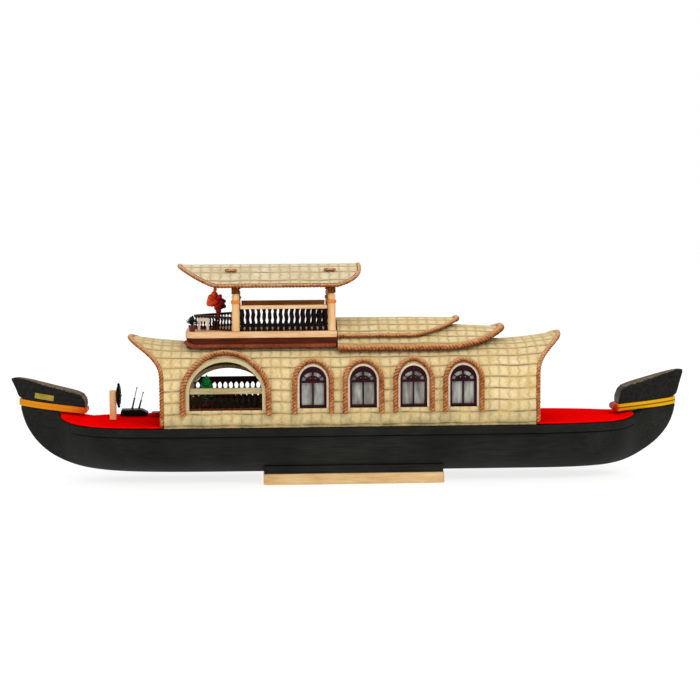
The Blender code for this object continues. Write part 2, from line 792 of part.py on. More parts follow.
def build_cabin():
    """Both halves of the cabin with the arch and the windows cut out."""
    for side, sign in (("port", 1.0), ("starboard", -1.0)):
        shape = ARCHES[side]
        arch = arched_outline(
            ARCH_X, ARCH_HALF_WIDTH, ARCH_SILL, shape["spring"], shape["apex"], ARCH_STEPS
        )
        shell = build_cabin_shell(side, sign)
        boolean(shell, opening_cutter("arch_cut_" + side, arch, sign), "DIFFERENCE")
        for number, x in enumerate(WINDOW_X, 1):
            outline = arched_outline(
                x, WINDOW_HALF_WIDTH + GAP, WINDOW_SILL - GAP, WINDOW_SPRING, WINDOW_APEX + GAP
            )
            boolean(shell, opening_cutter(f"window_cut_{side}_{number}", outline, sign), "DIFFERENCE")
        painted(smooth(shell), "bamboo_mat")
        build_windows(side, sign)
        build_arch_rope(side, sign)
    for end, sign in (("fore", 1.0), ("aft", -1.0)):
        build_end_rope(end, sign)


def beside_edge(path, normals, offset):
    """Points beside a mat's edge: square to it, along the surface that ends there."""
    placed = []
    for index, place in enumerate(path):
        before = Vector(path[max(index - 1, 0)])
        after = Vector(path[min(index + 1, len(path) - 1)])
        along = (after - before).normalized()
        outward = along.cross(Vector(normals[index])).normalized()
        placed.append(Vector(place) + offset * outward)
    return placed


def build_end_rope(end, sign):
    """Coir rope bound over the mat's edge at each end of the cabin."""
    inset = 0.5 * CABIN_WALL
    side = [(sign * CABIN_END, CABIN_HALF_WIDTH - inset, FOREDECK_TOP + GAP)]
    normals = [(0.0, 1.0, 0.0)]
    for angle in cabin_arch_angles():
        width, height = cabin_point(angle, inset)
        x = sign * cabin_end_x(angle, sign)
        side.append((x, width, height + cabin_lift(x, angle)))
        normals.append((0.0, *cabin_normal(angle)))
    side[-1] = (side[-1][0], 0.0, side[-1][2])
    path = side + [(x, -y, z) for x, y, z in reversed(side[:-1])]
    normals += [(0.0, -across, up) for _, across, up in reversed(normals[:-1])]
    offset = -sign * (END_ROPE_RADIUS + ROPE_GAP)
    painted(rope("cabin_rope_" + end, beside_edge(path, normals, offset), END_ROPE_RADIUS), "coir_rope")


def build_arch_rope(side, sign):
    """Coir rope laid round the lounge arch on the outside of the mat."""
    outline = arched_outline(
        ARCH_X, ARCH_HALF_WIDTH + ARCH_ROPE_OUT, ARCH_ROPE_FOOT,
        ARCHES[side]["spring"], ARCHES[side]["apex"] + ARCH_ROPE_RISE, ARCH_STEPS,
    )
    path = [outline[1]] + outline[2:] + [outline[0]]
    points = [on_cabin(x, z, ARCH_ROPE_RADIUS + GAP, sign) for x, z in path]
    painted(rope("arch_rope_" + side, points, ARCH_ROPE_RADIUS), "coir_rope")


def window_outlines(x):
    """A window frame's outer edge and its four panes."""
    steps = 10
    half = WINDOW_HALF_WIDTH
    outer = arched_outline(x, half, WINDOW_SILL, WINDOW_SPRING, WINDOW_APEX, steps)
    inner = half - WINDOW_BORDER
    bar = 0.5 * WINDOW_BAR
    low = WINDOW_SILL + WINDOW_BORDER
    panes = []
    for sign in (-1.0, 1.0):
        panes.append([
            (x + sign * bar, low), (x + sign * inner, low),
            (x + sign * inner, TRANSOM_Z), (x + sign * bar, TRANSOM_Z),
        ])
    for sign in (-1.0, 1.0):
        head = [(x + sign * bar, TRANSOM_Z + WINDOW_BAR), (x + sign * inner, TRANSOM_Z + WINDOW_BAR)]
        for step in range(steps // 2):
            angle = 0.5 * math.pi * step / (steps // 2)
            head.append((
                x + sign * inner * math.cos(angle),
                WINDOW_SPRING + (WINDOW_APEX - WINDOW_BORDER - WINDOW_SPRING) * math.sin(angle),
            ))
        head.append((x + sign * bar, WINDOW_APEX - WINDOW_BORDER))
        panes.append(head)
    return [outer] + panes


def build_windows(side, sign):
    """Four wooden window frames and the sheet of panes behind them."""
    middle = sign * (WINDOW_OUTER_Y - 0.5 * WINDOW_DEPTH)
    for number, x in enumerate(WINDOW_X, 1):
        frame = flat_plate(f"window_{side}_{number}", window_outlines(x), WINDOW_DEPTH, (0.0, middle, 0.0))
        painted(as_mesh(frame), "maroon_wood")
    outer = WINDOW_OUTER_Y - WINDOW_DEPTH - GAP
    inner = outer - PANE_THICKNESS
    low_x = WINDOW_X[-1] - WINDOW_HALF_WIDTH - PANE_MARGIN
    high_x = WINDOW_X[0] + WINDOW_HALF_WIDTH + PANE_MARGIN
    panes = box(
        "window_panes_" + side,
        (low_x, min(sign * inner, sign * outer), WINDOW_SILL - PANE_MARGIN),
        (high_x, max(sign * inner, sign * outer), WINDOW_APEX - PANE_BELOW_APEX),
    )
    painted(panes, "window_pane")


def balustrade_outlines(start, end, low, high, sill, rail):
    """A balustrade's outer edge and the gaps between its balusters."""
    outer = [(start, low), (end, low), (end, high), (start, high)]
    bottom = low + sill
    top = high - rail
    span = end - start - 2 * BALUSTER_HALF
    count = max(int(round(span / BALUSTER_PITCH)), 1)
    pitch = span / count
    middle = 0.5 * (bottom + top)
    gaps = []
    for number in range(count):
        left = start + BALUSTER_HALF + number * pitch
        right = left + pitch
        slim_left, slim_right = left + BALUSTER_HALF, right - BALUSTER_HALF
        full_left, full_right = left + BALUSTER_BULB, right - BALUSTER_BULB
        gaps.append([
            (slim_left, bottom), (slim_right, bottom),
            (full_right, middle), (slim_right, top),
            (slim_left, top), (full_left, middle),
        ])
    return [outer] + gaps


def build_lounge_rails():
    """Balustrades that close the lower part of the lounge arches."""
    half = ARCH_HALF_WIDTH - GAP
    place = LOUNGE_RAIL["side"]
    for side, sign in (("port", 1.0), ("starboard", -1.0)):
        outlines = balustrade_outlines(
            ARCH_X - half, ARCH_X + half, ARCH_SILL + GAP,
            LOUNGE_RAIL["top"], LOUNGE_RAIL["sill"], LOUNGE_RAIL["rail"],
        )
        rail = as_mesh(flat_plate(
            "lounge_rail_" + side, outlines, LOUNGE_RAIL["thickness"], (0.0, sign * place, 0.0)
        ))
        arch = arched_outline(
            ARCH_X, half, ARCH_SILL, ARCHES[side]["spring"], ARCHES[side]["apex"] - GAP, ARCH_STEPS
        )
        keeper = flat_plate(
            "rail_arch_" + side, [arch], 4 * LOUNGE_RAIL["thickness"], (0.0, sign * place, 0.0)
        )
        boolean(rail, as_mesh(keeper), "INTERSECT")
        painted(rail, "brown_wood")


def build_bulkheads():
    """Boards across the cabin: one behind the lounge, one at the aft end."""
    foot = PLATFORM_LEVEL + 2 * GAP + FLOOR_THICKNESS + DOOR_SILL
    for name, x, door_half, door_top in BULKHEADS:
        outline = cabin_outline(CABIN_WALL + BULKHEAD_CLEARANCE)
        door = [(-door_half, foot), (door_half, foot), (door_half, door_top), (-door_half, door_top)]
        board = flat_plate(name, [outline, door], BULKHEAD_THICKNESS, (x, 0.0, 0.0))
        board.rotation_euler = (math.pi / 2, 0.0, math.pi / 2)
        painted(as_mesh(board), "light_wood")


def upper_outline(setback):
    """Plan of the upper deck: square, with its two fore corners rounded."""
    half = UPPER_HALF_WIDTH - setback
    radius = UPPER_CORNER - setback
    fore = UPPER_FORE - setback - radius
    points = [(UPPER_AFT, half), (UPPER_AFT, -half)]
    for centre, start in ((-half + radius, -0.5 * math.pi), (half - radius, 0.0)):
        for step in range(UPPER_CORNER_STEPS + 1):
            angle = start + 0.5 * math.pi * step / UPPER_CORNER_STEPS
            points.append((fore + radius * math.cos(angle), centre + radius * math.sin(angle)))
    return points


def build_upper_deck():
    """Planked upper deck with its fascia, posts and balustrades."""
    thickness = UPPER_TOP - UPPER_BOTTOM
    deck = flat_plate(
        "upper_deck", [upper_outline(0.0)], thickness,
        (0.0, 0.0, UPPER_BOTTOM + 0.5 * thickness), upright=False,
    )
    painted(as_mesh(deck), "light_wood")
    height = UPPER_BOTTOM - GAP - FASCIA_BOTTOM
    inside = upper_outline(FASCIA_SETBACK + FASCIA_THICKNESS)
    inside[0] = (UPPER_AFT + FASCIA_THICKNESS, inside[0][1])
    inside[1] = (UPPER_AFT + FASCIA_THICKNESS, inside[1][1])
    fascia = as_mesh(flat_plate(
        "upper_fascia", [upper_outline(FASCIA_SETBACK), inside], height,
        (0.0, 0.0, FASCIA_BOTTOM + 0.5 * height), upright=False,
    ))
    roof = cabin_outline(-2 * GAP)
    under = as_mesh(flat_plate(
        "roof_under_fascia", [roof], UNDER_FASCIA_LENGTH, (UNDER_FASCIA_MIDDLE, 0.0, 0.0)
    ))
    under.rotation_euler = (math.pi / 2, 0.0, math.pi / 2)
    boolean(fascia, under, "DIFFERENCE")
    painted(fascia, "maroon_wood")
    build_posts()
    for side, sign in (("port", 1.0), ("starboard", -1.0)):
        outlines = balustrade_outlines(
            POST_X[1] + POST_CLEARANCE, POST_X[0] - POST_CLEARANCE, UPPER_TOP + GAP,
            UPPER_RAIL["top"], UPPER_RAIL["sill"], UPPER_RAIL["rail"],
        )
        rail = flat_plate(
            "upper_rail_" + side, outlines, UPPER_RAIL["thickness"],
            (0.0, sign * UPPER_RAIL["side"], 0.0),
        )
        painted(as_mesh(rail), "brown_wood")
    build_balcony_rail()
    build_stool()


def build_posts():
    """Four turned posts that carry the canopy."""
    low = UPPER_TOP + GAP
    profile = POST_PROFILE + ((POST_RADIUS, low), (0.0, low))
    for x, end in zip(POST_X, ("fore", "aft")):
        for side, sign in (("port", 1.0), ("starboard", -1.0)):
            post = turned(f"upper_post_{end}_{side}", profile, (x, sign * POST_Y, 0.0))
            painted(post, "light_wood")


def build_balcony_rail():
    """Low rail from the fore posts to a point over the bow, with its gaps cut through."""
    low = UPPER_TOP + GAP
    half_thickness = 0.5 * BALCONY_THICKNESS
    port = [Vector((x, y)) for x, y in BALCONY_PLAN]
    path = port + [Vector((p.x, -p.y)) for p in reversed(port[:-1])]
    outer = []
    inner = []
    for index, place in enumerate(path):
        along = path[min(index + 1, len(path) - 1)] - path[max(index - 1, 0)]
        across = Vector((-along.y, along.x)).normalized() * half_thickness
        outer.append(place + across)
        inner.append(place - across)
    height = BALCONY_TOP - low
    rail = as_mesh(flat_plate(
        "balcony_rail", [outer + list(reversed(inner))], height,
        (0.0, 0.0, low + 0.5 * height), upright=False,
    ))
    start = BALCONY_PLAN[0][0]
    for number in range(BALCONY_GAPS):
        x = start + BALCONY_GAP_PITCH * (number + 0.5)
        gap = box(
            f"balcony_gap_{number}",
            (x, -UPPER_HALF_WIDTH, low + BALCONY_SILL),
            (x + BALCONY_GAP_WIDTH, UPPER_HALF_WIDTH, BALCONY_TOP - BALCONY_CAP),
        )
        boolean(rail, gap, "DIFFERENCE")
    painted(rail, "brown_wood")


def build_stool():
    """Small cream stool: a block with the space between its legs cut out both ways."""
    stool = box("balcony_stool", STOOL_LOW, STOOL_HIGH)
    under = STOOL_HIGH[2] - STOOL_SEAT
    leg = STOOL_LEG
    between_legs = (
        ("along", (-1.0, leg), (1.0, -leg)),
        ("across", (leg, -1.0), (-leg, 1.0)),
    )
    for name, low, high in between_legs:
        space = box(
            "stool_space_" + name,
            (STOOL_LOW[0] + low[0], STOOL_LOW[1] + low[1], STOOL_LOW[2] - 1.0),
            (STOOL_HIGH[0] + high[0], STOOL_HIGH[1] + high[1], under),
        )
        boolean(stool, space, "DIFFERENCE")
    painted(stool, "cream_wood")


def roof_arc(roof):
    """Radius of a roof's arc and the angle from its ridge to its eave."""
    rise = roof["ridge"] - roof["eave"]
    half = roof["half_width"]
    return 0.5 * (half * half + rise * rise) / rise, 2.0 * math.atan2(rise, half)


def roof_point(roof, angle, share_along, inset=0.0):
    """Place on a roof at an angle from its ridge and a share of its length from aft."""
    radius, eave_angle = roof_arc(roof)
    floor = math.cos(eave_angle)
    share = (math.cos(angle) - floor) / (1.0 - floor)
    share = min(max(share, 0.0), 1.0)
    ends = []
    for end, way in (("aft", -1.0), ("fore", 1.0)):
        swept = (1.0 - (1.0 - share) ** roof[end + "_bow"]) ** roof[end + "_power"]
        ends.append(roof[end] + way * roof[end + "_reach"] * swept)
    x = ends[0] + (ends[1] - ends[0]) * share_along
    droop = roof["tip_drop"] * max(1.0 - share_along / DROOP_START, 0.0) * share
    height = roof["ridge"] - radius + (radius - inset) * math.cos(angle) - droop
    return x, (radius - inset) * math.sin(angle), height


def roof_angles(roof):
    """Angles from the port eave over the ridge to the starboard eave."""
    eave_angle = roof_arc(roof)[1]
    floor = math.cos(eave_angle)
    port = [math.acos(floor + (1.0 - floor) * share) for share in ROOF_SHARES]
    return port + [0.0] + [-angle for angle in reversed(port)]


def build_roof(name, roof, slot):
    """A bent mat from eave to eave, its ends swept out along the ridge."""
    mesh = bmesh.new()
    rows = []
    for angle in roof_angles(roof):
        places = [roof_point(roof, angle, share) for share in ROOF_STATIONS]
        rows.append([mesh.verts.new(Vector(place) * MM) for place in places])
    for row, following in zip(rows, rows[1:]):
        for i in range(len(row) - 1):
            mesh.faces.new((row[i], following[i], following[i + 1], row[i + 1]))
    data = bpy.data.meshes.new(name)
    mesh.to_mesh(data)
    mesh.free()
    obj = bpy.data.objects.new(name, data)
    boat.objects.link(obj)
    wall = obj.modifiers.new("wall", "SOLIDIFY")
    wall.thickness = roof["wall"] * MM
    wall.offset = -1.0
    painted(smooth(obj), slot)


def build_roof_rope(name, roof, radius, whole):
    """Coir rope along a roof's eaves and over its aft edge, or round the whole mat."""
    angles = roof_angles(roof)
    inset = 0.5 * roof["wall"]
    length = roof_point(roof, angles[0], 1.0)[0] - roof_point(roof, angles[0], 0.0)[0]
    steps = max(int(length / EAVE_ROPE_STEP), 2)
    eave = [(angles[0], 1.0 - step / steps) for step in range(steps)]
    way = eave + [(angle, 0.0) for angle in angles]
    way += [(-angle, share) for angle, share in reversed(eave)]
    if whole:
        way += [(angle, 1.0) for angle in reversed(angles[1:-1])]
    path = [roof_point(roof, angle, share, inset) for angle, share in way]
    normals = [(0.0, math.sin(angle), math.cos(angle)) for angle, _ in way]
    offset = radius + ROPE_GAP
    if whole:
        path = [path[-1]] + path + [path[0]]
        normals = [normals[-1]] + normals + [normals[0]]
        points = beside_edge(path, normals, offset)[1:-1]
    else:
        points = beside_edge(path, normals, offset)
    painted(rope(name, points, radius, closed=whole), "coir_rope")


def build_roofs():
    """Canopy and the two tiers of mat behind the upper deck, each bound with rope."""
    for name, roof, slot, radius in (
        ("canopy", CANOPY, "canopy_mat", CANOPY_ROPE_RADIUS),
        ("lower_tier", LOWER_TIER, "bamboo_mat", LOWER_ROPE_RADIUS),
        ("upper_tier", UPPER_TIER, "bamboo_mat", UPPER_ROPE_RADIUS),
    ):
        build_roof(name, roof, slot)
        build_roof_rope(name + "_rope", roof, radius, name == "canopy")


def wheel_outlines():
    """Helm wheel: rim with its grips, the gaps between the spokes and the bore."""
    rim_outer = HELM_RIM_OUTER * HELM_RADIUS
    rim_inner = HELM_RIM_INNER * HELM_RADIUS
    hub = HELM_HUB * HELM_RADIUS
    half_turn = math.pi / HELM_GRIPS
    outer = []
    for number in range(HELM_GRIPS):
        centre = 2 * half_turn * number
        low = math.asin(HELM_GRIP_HALF / rim_outer)
        high = math.asin(HELM_GRIP_HALF / HELM_RADIUS)
        outer += [
            (rim_outer, centre - low), (HELM_RADIUS, centre - high),
            (HELM_RADIUS, centre + high), (rim_outer, centre + low),
            (rim_outer, centre + half_turn),
        ]
    rings = [outer]
    far = half_turn - math.asin(HELM_SPOKE_HALF / rim_inner)
    near = half_turn - math.asin(HELM_SPOKE_HALF / hub)
    for number in range(HELM_GRIPS):
        centre = 2 * half_turn * (number + 0.5)
        gap = [(rim_inner, centre + far * share) for share in (-1.0, 0.0, 1.0)]
        rings.append(gap + [(hub, centre + near), (hub, centre - near)])
    rings.append([(HELM_BORE, 2 * math.pi * step / 10) for step in range(10)])
    return [[(r * math.cos(a), r * math.sin(a)) for r, a in ring] for ring in rings]


def build_helm():
    """Helm wheel on its pin, carried by a post on the foredeck."""
    wheel = flat_plate("helm_wheel", wheel_outlines(), HELM_THICKNESS, (HELM_X, 0.0, HELM_Z))
    wheel.rotation_euler = (math.pi / 2, 0.0, math.pi / 2)
    painted(as_mesh(wheel), "black_painted_wood")
    post = box(
        "helm_post",
        (HELM_POST_AFT, -HELM_POST_HALF, FOREDECK_TOP + GAP),
        (HELM_POST_FORE, HELM_POST_HALF, HELM_POST_TOP),
    )
    pin_middle = HELM_POST_AFT - HELM_PIN_SHARE_AFT * HELM_PIN_LENGTH
    bpy.ops.mesh.primitive_cylinder_add(
        vertices=10, radius=HELM_PIN * MM, depth=HELM_PIN_LENGTH * MM,
        location=(pin_middle * MM, 0.0, HELM_Z * MM), rotation=(0.0, math.pi / 2, 0.0),
    )
    pin = into(bpy.context.object, boat)
    pin.name = "helm_pin"
    boolean(post, pin, "UNION")
    painted(post, "light_wood")


def build_deck_things():
    """Low black locker, sloped at its aft end, with two thin levers and a red step."""
    side = [
        (LOCKER_AFT + LOCKER_NOSE_SHARE * LOCKER_SLOPE, FOREDECK_TOP), (LOCKER_FORE, FOREDECK_TOP),
        (LOCKER_FORE - LOCKER_FORE_SHARE * LOCKER_SLOPE, LOCKER_TOP),
        (LOCKER_AFT + LOCKER_SLOPE, LOCKER_TOP),
        (LOCKER_AFT, 0.5 * (FOREDECK_TOP + LOCKER_TOP)),
    ]
    middle = 0.5 * (LOCKER_SIDES[0] + LOCKER_SIDES[1])
    width = LOCKER_SIDES[1] - LOCKER_SIDES[0]
    locker = as_mesh(flat_plate("deck_locker", [side], width, (0.0, middle, 0.0)))
    painted(bevelled(locker, LOCKER_EDGE, 1), "black_painted_wood")
    for name, foot_x, head_x, head_z in LEVERS:
        ends = [(foot_x, LEVER_Y, LOCKER_TOP + GAP), (head_x, LEVER_Y, head_z)]
        painted(rope(name, ends, LEVER_RADIUS), "grey_metal")
    painted(bevelled(box("deck_step", STEP_LOW, STEP_HIGH), STEP_EDGE), "red_gloss_wood")


def build_plants():
    """Potted plants on the balcony and in the lounge."""
    for table, shape in ((POTS, POT_PROFILE), (PLANTS, PLANT_PROFILE)):
        for name, x, y, foot, radius, height, slot in table:
            profile = [(radius * out, foot + height * up) for out, up in shape]
            painted(turned(name, profile, (x, y, 0.0), 10), slot)


build_stand()
build_hull()
build_prows()
build_decks()
build_cabin()
build_lounge_rails()
build_bulkheads()
build_upper_deck()
build_roofs()
build_helm()
build_deck_things()
build_plants()
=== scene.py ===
import math
import random

import bpy
from mathutils import Matrix, Vector


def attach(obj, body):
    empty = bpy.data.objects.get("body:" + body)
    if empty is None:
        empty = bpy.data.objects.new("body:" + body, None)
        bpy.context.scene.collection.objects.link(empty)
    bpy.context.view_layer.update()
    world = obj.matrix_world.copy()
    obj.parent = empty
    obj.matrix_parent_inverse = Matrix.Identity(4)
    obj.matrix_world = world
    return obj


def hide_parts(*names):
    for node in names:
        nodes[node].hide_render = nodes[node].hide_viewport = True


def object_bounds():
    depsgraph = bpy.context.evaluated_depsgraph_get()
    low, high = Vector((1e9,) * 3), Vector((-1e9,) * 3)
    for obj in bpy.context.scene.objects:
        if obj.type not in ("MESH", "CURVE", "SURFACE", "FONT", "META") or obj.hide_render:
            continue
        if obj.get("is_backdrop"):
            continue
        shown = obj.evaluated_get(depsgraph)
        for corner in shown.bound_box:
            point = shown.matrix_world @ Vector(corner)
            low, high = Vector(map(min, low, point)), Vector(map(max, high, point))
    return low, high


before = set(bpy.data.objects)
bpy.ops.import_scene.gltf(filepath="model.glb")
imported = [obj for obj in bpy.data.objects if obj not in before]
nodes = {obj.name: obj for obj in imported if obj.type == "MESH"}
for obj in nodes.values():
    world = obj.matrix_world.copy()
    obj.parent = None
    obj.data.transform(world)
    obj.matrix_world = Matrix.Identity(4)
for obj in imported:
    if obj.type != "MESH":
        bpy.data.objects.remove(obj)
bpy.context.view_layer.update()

# The studio: a floor of white paper in a white room under three broad soft panels of light, two in
# front and one behind. The camera is a long lens a metre and a half off the port side, a little
# above the roof.
MM = 0.001
PHOTO_SIDE = 700.0
CAMERA_PLACE = (72.7, 1542.3, 262.0)
CAMERA_YAW = 2.7
CAMERA_TILT = math.degrees(math.atan(160.0 / 1700.0))
CAMERA_ROLL = 0.35
LENS_PIXELS = 1700.0
SENSOR = 36.0
PRINCIPAL_SHIFT = 2.0

yaw, tilt, roll = (math.radians(a) for a in (CAMERA_YAW, CAMERA_TILT, CAMERA_ROLL))
ahead = Vector((
    -math.sin(yaw) * math.cos(tilt), -math.cos(yaw) * math.cos(tilt), -math.sin(tilt)
))
level_right = Vector((-math.cos(yaw), math.sin(yaw), 0.0))
level_up = level_right.cross(ahead)
right = math.cos(roll) * level_right - math.sin(roll) * level_up
up = math.sin(roll) * level_right + math.cos(roll) * level_up
bpy.ops.object.camera_add(location=Vector(CAMERA_PLACE) * MM)
camera = bpy.context.object
camera.rotation_euler = Matrix((right, up, -ahead)).transposed().to_euler()
camera.data.sensor_width = SENSOR
camera.data.lens = SENSOR * LENS_PIXELS / PHOTO_SIDE
camera.data.shift_x = PRINCIPAL_SHIFT / PHOTO_SIDE
bpy.context.scene.camera = camera
bpy.context.scene.view_settings.view_transform = "Standard"


def linear(code):
    """Linear colour of an sRGB hex code."""
    parts = [int(code[i:i + 2], 16) / 255.0 for i in (1, 3, 5)]
    return tuple(
        p / 12.92 if p <= 0.04045 else ((p + 0.055) / 1.055) ** 2.4 for p in parts
    ) + (1.0,)


def wire(tree, node, inputs):
    """Link a node's inputs to other nodes' outputs, or set them."""
    for name, value in inputs.items():
        if isinstance(value, bpy.types.NodeSocket):
            tree.links.new(value, node.inputs[name])
        else:
            node.inputs[name].default_value = value


def add(tree, kind, settings, inputs):
    """Add a node with its settings, and link or set its inputs."""
    node = tree.nodes.new("ShaderNode" + kind)
    for name, value in settings.items():
        if name == "stops":
            ramp = node.color_ramp.elements
            ramp[0].position, ramp[0].color = value[0][0], linear(value[0][1])
            ramp[1].position, ramp[1].color = value[-1][0], linear(value[-1][1])
            for place, code in value[1:-1]:
                ramp.new(place).color = linear(code)
        else:
            setattr(node, name, value)
    wire(tree, node, inputs)
    return node


def new_finish(name, sockets):
    """A new material, with what is the same all over it set on its shader."""
    material = bpy.data.materials.new(name)
    material.use_nodes = True
    shader = material.node_tree.nodes["Principled BSDF"]
    wire(material.node_tree, shader, sockets)
    return material, material.node_tree, shader


room = bpy.data.worlds.new("white_room")
room.use_nodes = True
backdrop = room.node_tree.nodes["Background"]
seen = add(room.node_tree, "LightPath", {}, {})
strength = add(room.node_tree, "MapRange", {}, {
    "Value": seen.outputs["Is Camera Ray"], "To Min": 0.62, "To Max": 1.0,
})
wire(room.node_tree, backdrop, {"Color": linear("#ffffff"), "Strength": strength.outputs[0]})
bpy.context.scene.world = room

# place, width and height in metres, power in watts, colour
PANELS = (
    ((-0.8, 1.5, 1.4), 1.6, 1.0, 15.5, "#fff8ee"),
    ((1.3, 1.2, 0.9), 1.0, 1.0, 5.0, "#f4f8ff"),
    ((-0.2, -1.4, 1.4), 1.6, 0.8, 8.0, "#ffffff"),
)
PANEL_AIM = Vector((0.0, 0.0, 0.09))
PAPER_RADIUS = 6.0
PAPER_BLOTCH = 333.3
for place, width, height, power, code in PANELS:
    bpy.ops.object.light_add(type="AREA", location=place)
    panel = bpy.context.object
    panel.rotation_euler = (PANEL_AIM - Vector(place)).to_track_quat("-Z", "Y").to_euler()
    panel.data.shape = "RECTANGLE"
    panel.data.size, panel.data.size_y = width, height
    panel.data.energy = power
    panel.data.color = linear(code)[:3]

bpy.ops.mesh.primitive_circle_add(
    vertices=96, radius=PAPER_RADIUS, fill_type="NGON", location=(0, 0, 0)
)
floor = bpy.context.object
floor.name = "pale_floor"
# Matt white paper, lit from beneath as well: the boat's shadow is no more than a hint
paper, tree, shader = new_finish("matt_white_paper", {
    "Roughness": 0.9, "Specular IOR Level": 0.0, "Emission Color": linear("#ffffff"),
    "Emission Strength": 0.8,
})
grey = add(tree, "TexNoise", {}, {"Scale": 1000.0 / PAPER_BLOTCH, "Detail": 2.0})
tone = add(tree, "ValToRGB", {
    "stops": ((0.3, "#989897"), (0.7, "#a0a0a0")),
}, {"Fac": grey.outputs[0]})
wire(tree, shader, {"Base Color": tone.outputs[0]})
floor.data.materials.append(paper)
floor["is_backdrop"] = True


# The plinth: a board of pale softwood under the boat, sawn square, its edges eased with
# sandpaper and varnished. The black cradle block is glued on it and hollowed to the hull.
FIGURE_SIZE = 26.3
FIBRE_STRETCH = 14.0


def planed_wood(name, codes, along, grain, roughness, relief, level=0.5):
    """Wood whose fibres run along one axis, grain millimetres apart."""
    material, tree, shader = new_finish(name, {"IOR": 1.5, "Specular IOR Level": level})
    scale = [1000.0 / grain] * 3
    scale[along] /= FIBRE_STRETCH
    place = add(tree, "TexCoord", {}, {})
    stretched = add(tree, "Mapping", {}, {"Vector": place.outputs["Object"], "Scale": scale})
    fibres = add(tree, "TexNoise", {}, {
        "Vector": stretched.outputs[0], "Scale": 1.0, "Detail": 7.0, "Roughness": 0.62,
        "Distortion": 0.5,
    })
    broad = add(tree, "TexNoise", {}, {
        "Vector": place.outputs["Object"], "Scale": 1000.0 / FIGURE_SIZE, "Detail": 3.0,
    })
    both = add(tree, "Mix", {"data_type": "FLOAT"}, {
        0: 0.3, 2: fibres.outputs[0], 3: broad.outputs[0],
    })
    stops = tuple(zip((0.3, 0.5, 0.7), codes))
    colour = add(tree, "ValToRGB", {"stops": stops}, {"Fac": both.outputs[0]})
    gloss = add(tree, "MapRange", {}, {
        "Value": fibres.outputs[0], "To Min": roughness + 0.1, "To Max": roughness - 0.08,
    })
    bump = add(tree, "Bump", {}, {
        "Height": fibres.outputs[0], "Strength": relief, "Distance": 0.3 * MM,
    })
    wire(tree, shader, {
        "Base Color": colour.outputs[0], "Roughness": gloss.outputs[0], "Normal": bump.outputs[0],
    })
    return material


def fit(piece, material, body="boat"):
    """Give a new piece its finish and the body it moves with."""
    piece.data.materials.clear()
    piece.data.materials.append(material)
    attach(piece, body)


def choose(*pieces):
    """Select these pieces and nothing else, the first of them active."""
    bpy.ops.object.select_all(action="DESELECT")
    for piece in pieces:
        piece.select_set(True)
    bpy.context.view_layer.objects.active = pieces[0]


def smooth_copy(source, name, crease=32.0, levels=2):
    """The CAD node's own shape with its flats rounded into each other, its sharp edges kept."""
    choose(nodes[source])
    bpy.ops.object.duplicate()
    piece = bpy.context.object
    piece.name = name
    piece.parent = None
    for key in list(piece.keys()):
        del piece[key]
    bpy.ops.object.mode_set(mode="EDIT")
    bpy.ops.mesh.select_all(action="SELECT")
    bpy.ops.mesh.remove_doubles(threshold=0.01 * MM)
    bpy.ops.mesh.tris_convert_to_quads()
    bpy.ops.mesh.normals_make_consistent(inside=False)
    bpy.ops.mesh.select_all(action="DESELECT")
    bpy.ops.mesh.select_mode(type="EDGE")
    bpy.ops.mesh.edges_select_sharp(sharpness=math.radians(crease))
    bpy.ops.transform.edge_crease(value=0.92)
    bpy.ops.object.mode_set(mode="OBJECT")
    if levels:
        rounded = piece.modifiers.new("rounded", "SUBSURF")
        rounded.levels = levels
        rounded.render_levels = levels
        bpy.ops.object.modifier_apply(modifier="rounded")
        bpy.ops.object.shade_smooth_by_angle(angle=math.radians(40.0))
    return piece


def ease_edges(piece, width, segments=2, limit=30.0):
    """Rub a piece's edges round, width in millimetres, where they turn by more than a limit."""
    eased = piece.modifiers.new("eased", "BEVEL")
    eased.width = width * MM
    eased.segments = segments
    eased.limit_method = "ANGLE"
    eased.angle_limit = math.radians(limit)
    bpy.ops.object.modifier_apply(modifier="eased")


def eased_copy(source, name, width, segments=3):
    """The CAD node's own shape with its sharp edges rubbed round, width in millimetres."""
    piece = smooth_copy(source, name, levels=0)
    ease_edges(piece, width, segments, 40.0)
    bpy.ops.object.shade_smooth_by_angle(angle=math.radians(35.0))
    return piece


# Varnished pine: pale honey colour with fine brown lines along its length, a soft shine
pine = planed_wood("varnished_pine", ("#b8864c", "#d4ad74", "#e4c694"), 0, 1.6, 0.42, 0.25)
nodes["plinth"].material_slots[0].material = pine

# Black enamel brushed on carved softwood: charcoal, brush marks along the boat, barely a shine
BRUSH_WIDTH = 1.4
BRUSH_LENGTH = 23.33
BRUSH_CLOUD = 38.46
black_enamel, tree, shader = new_finish("brushed_black_enamel", {
    "IOR": 1.5, "Specular IOR Level": 0.07,
})
place = add(tree, "TexCoord", {}, {})
along = add(tree, "Mapping", {}, {
    "Vector": place.outputs["Object"],
    "Scale": (1000.0 / BRUSH_LENGTH, 1000.0 / BRUSH_WIDTH, 1000.0 / BRUSH_WIDTH),
})
marks = add(tree, "TexNoise", {}, {"Vector": along.outputs[0], "Scale": 1.0, "Detail": 6.0})
cloud = add(tree, "TexNoise", {}, {
    "Vector": place.outputs["Object"], "Scale": 1000.0 / BRUSH_CLOUD, "Detail": 4.0,
})
mixed = add(tree, "Mix", {"data_type": "FLOAT"}, {0: 0.55, 2: marks.outputs[0], 3: cloud.outputs[0]})
coat = add(tree, "ValToRGB", {
    "stops": ((0.32, "#11110f"), (0.5, "#1b1b18"), (0.7, "#282824")),
}, {"Fac": mixed.outputs[0]})
gloss = add(tree, "MapRange", {}, {"Value": mixed.outputs[0], "To Min": 0.34, "To Max": 0.58})
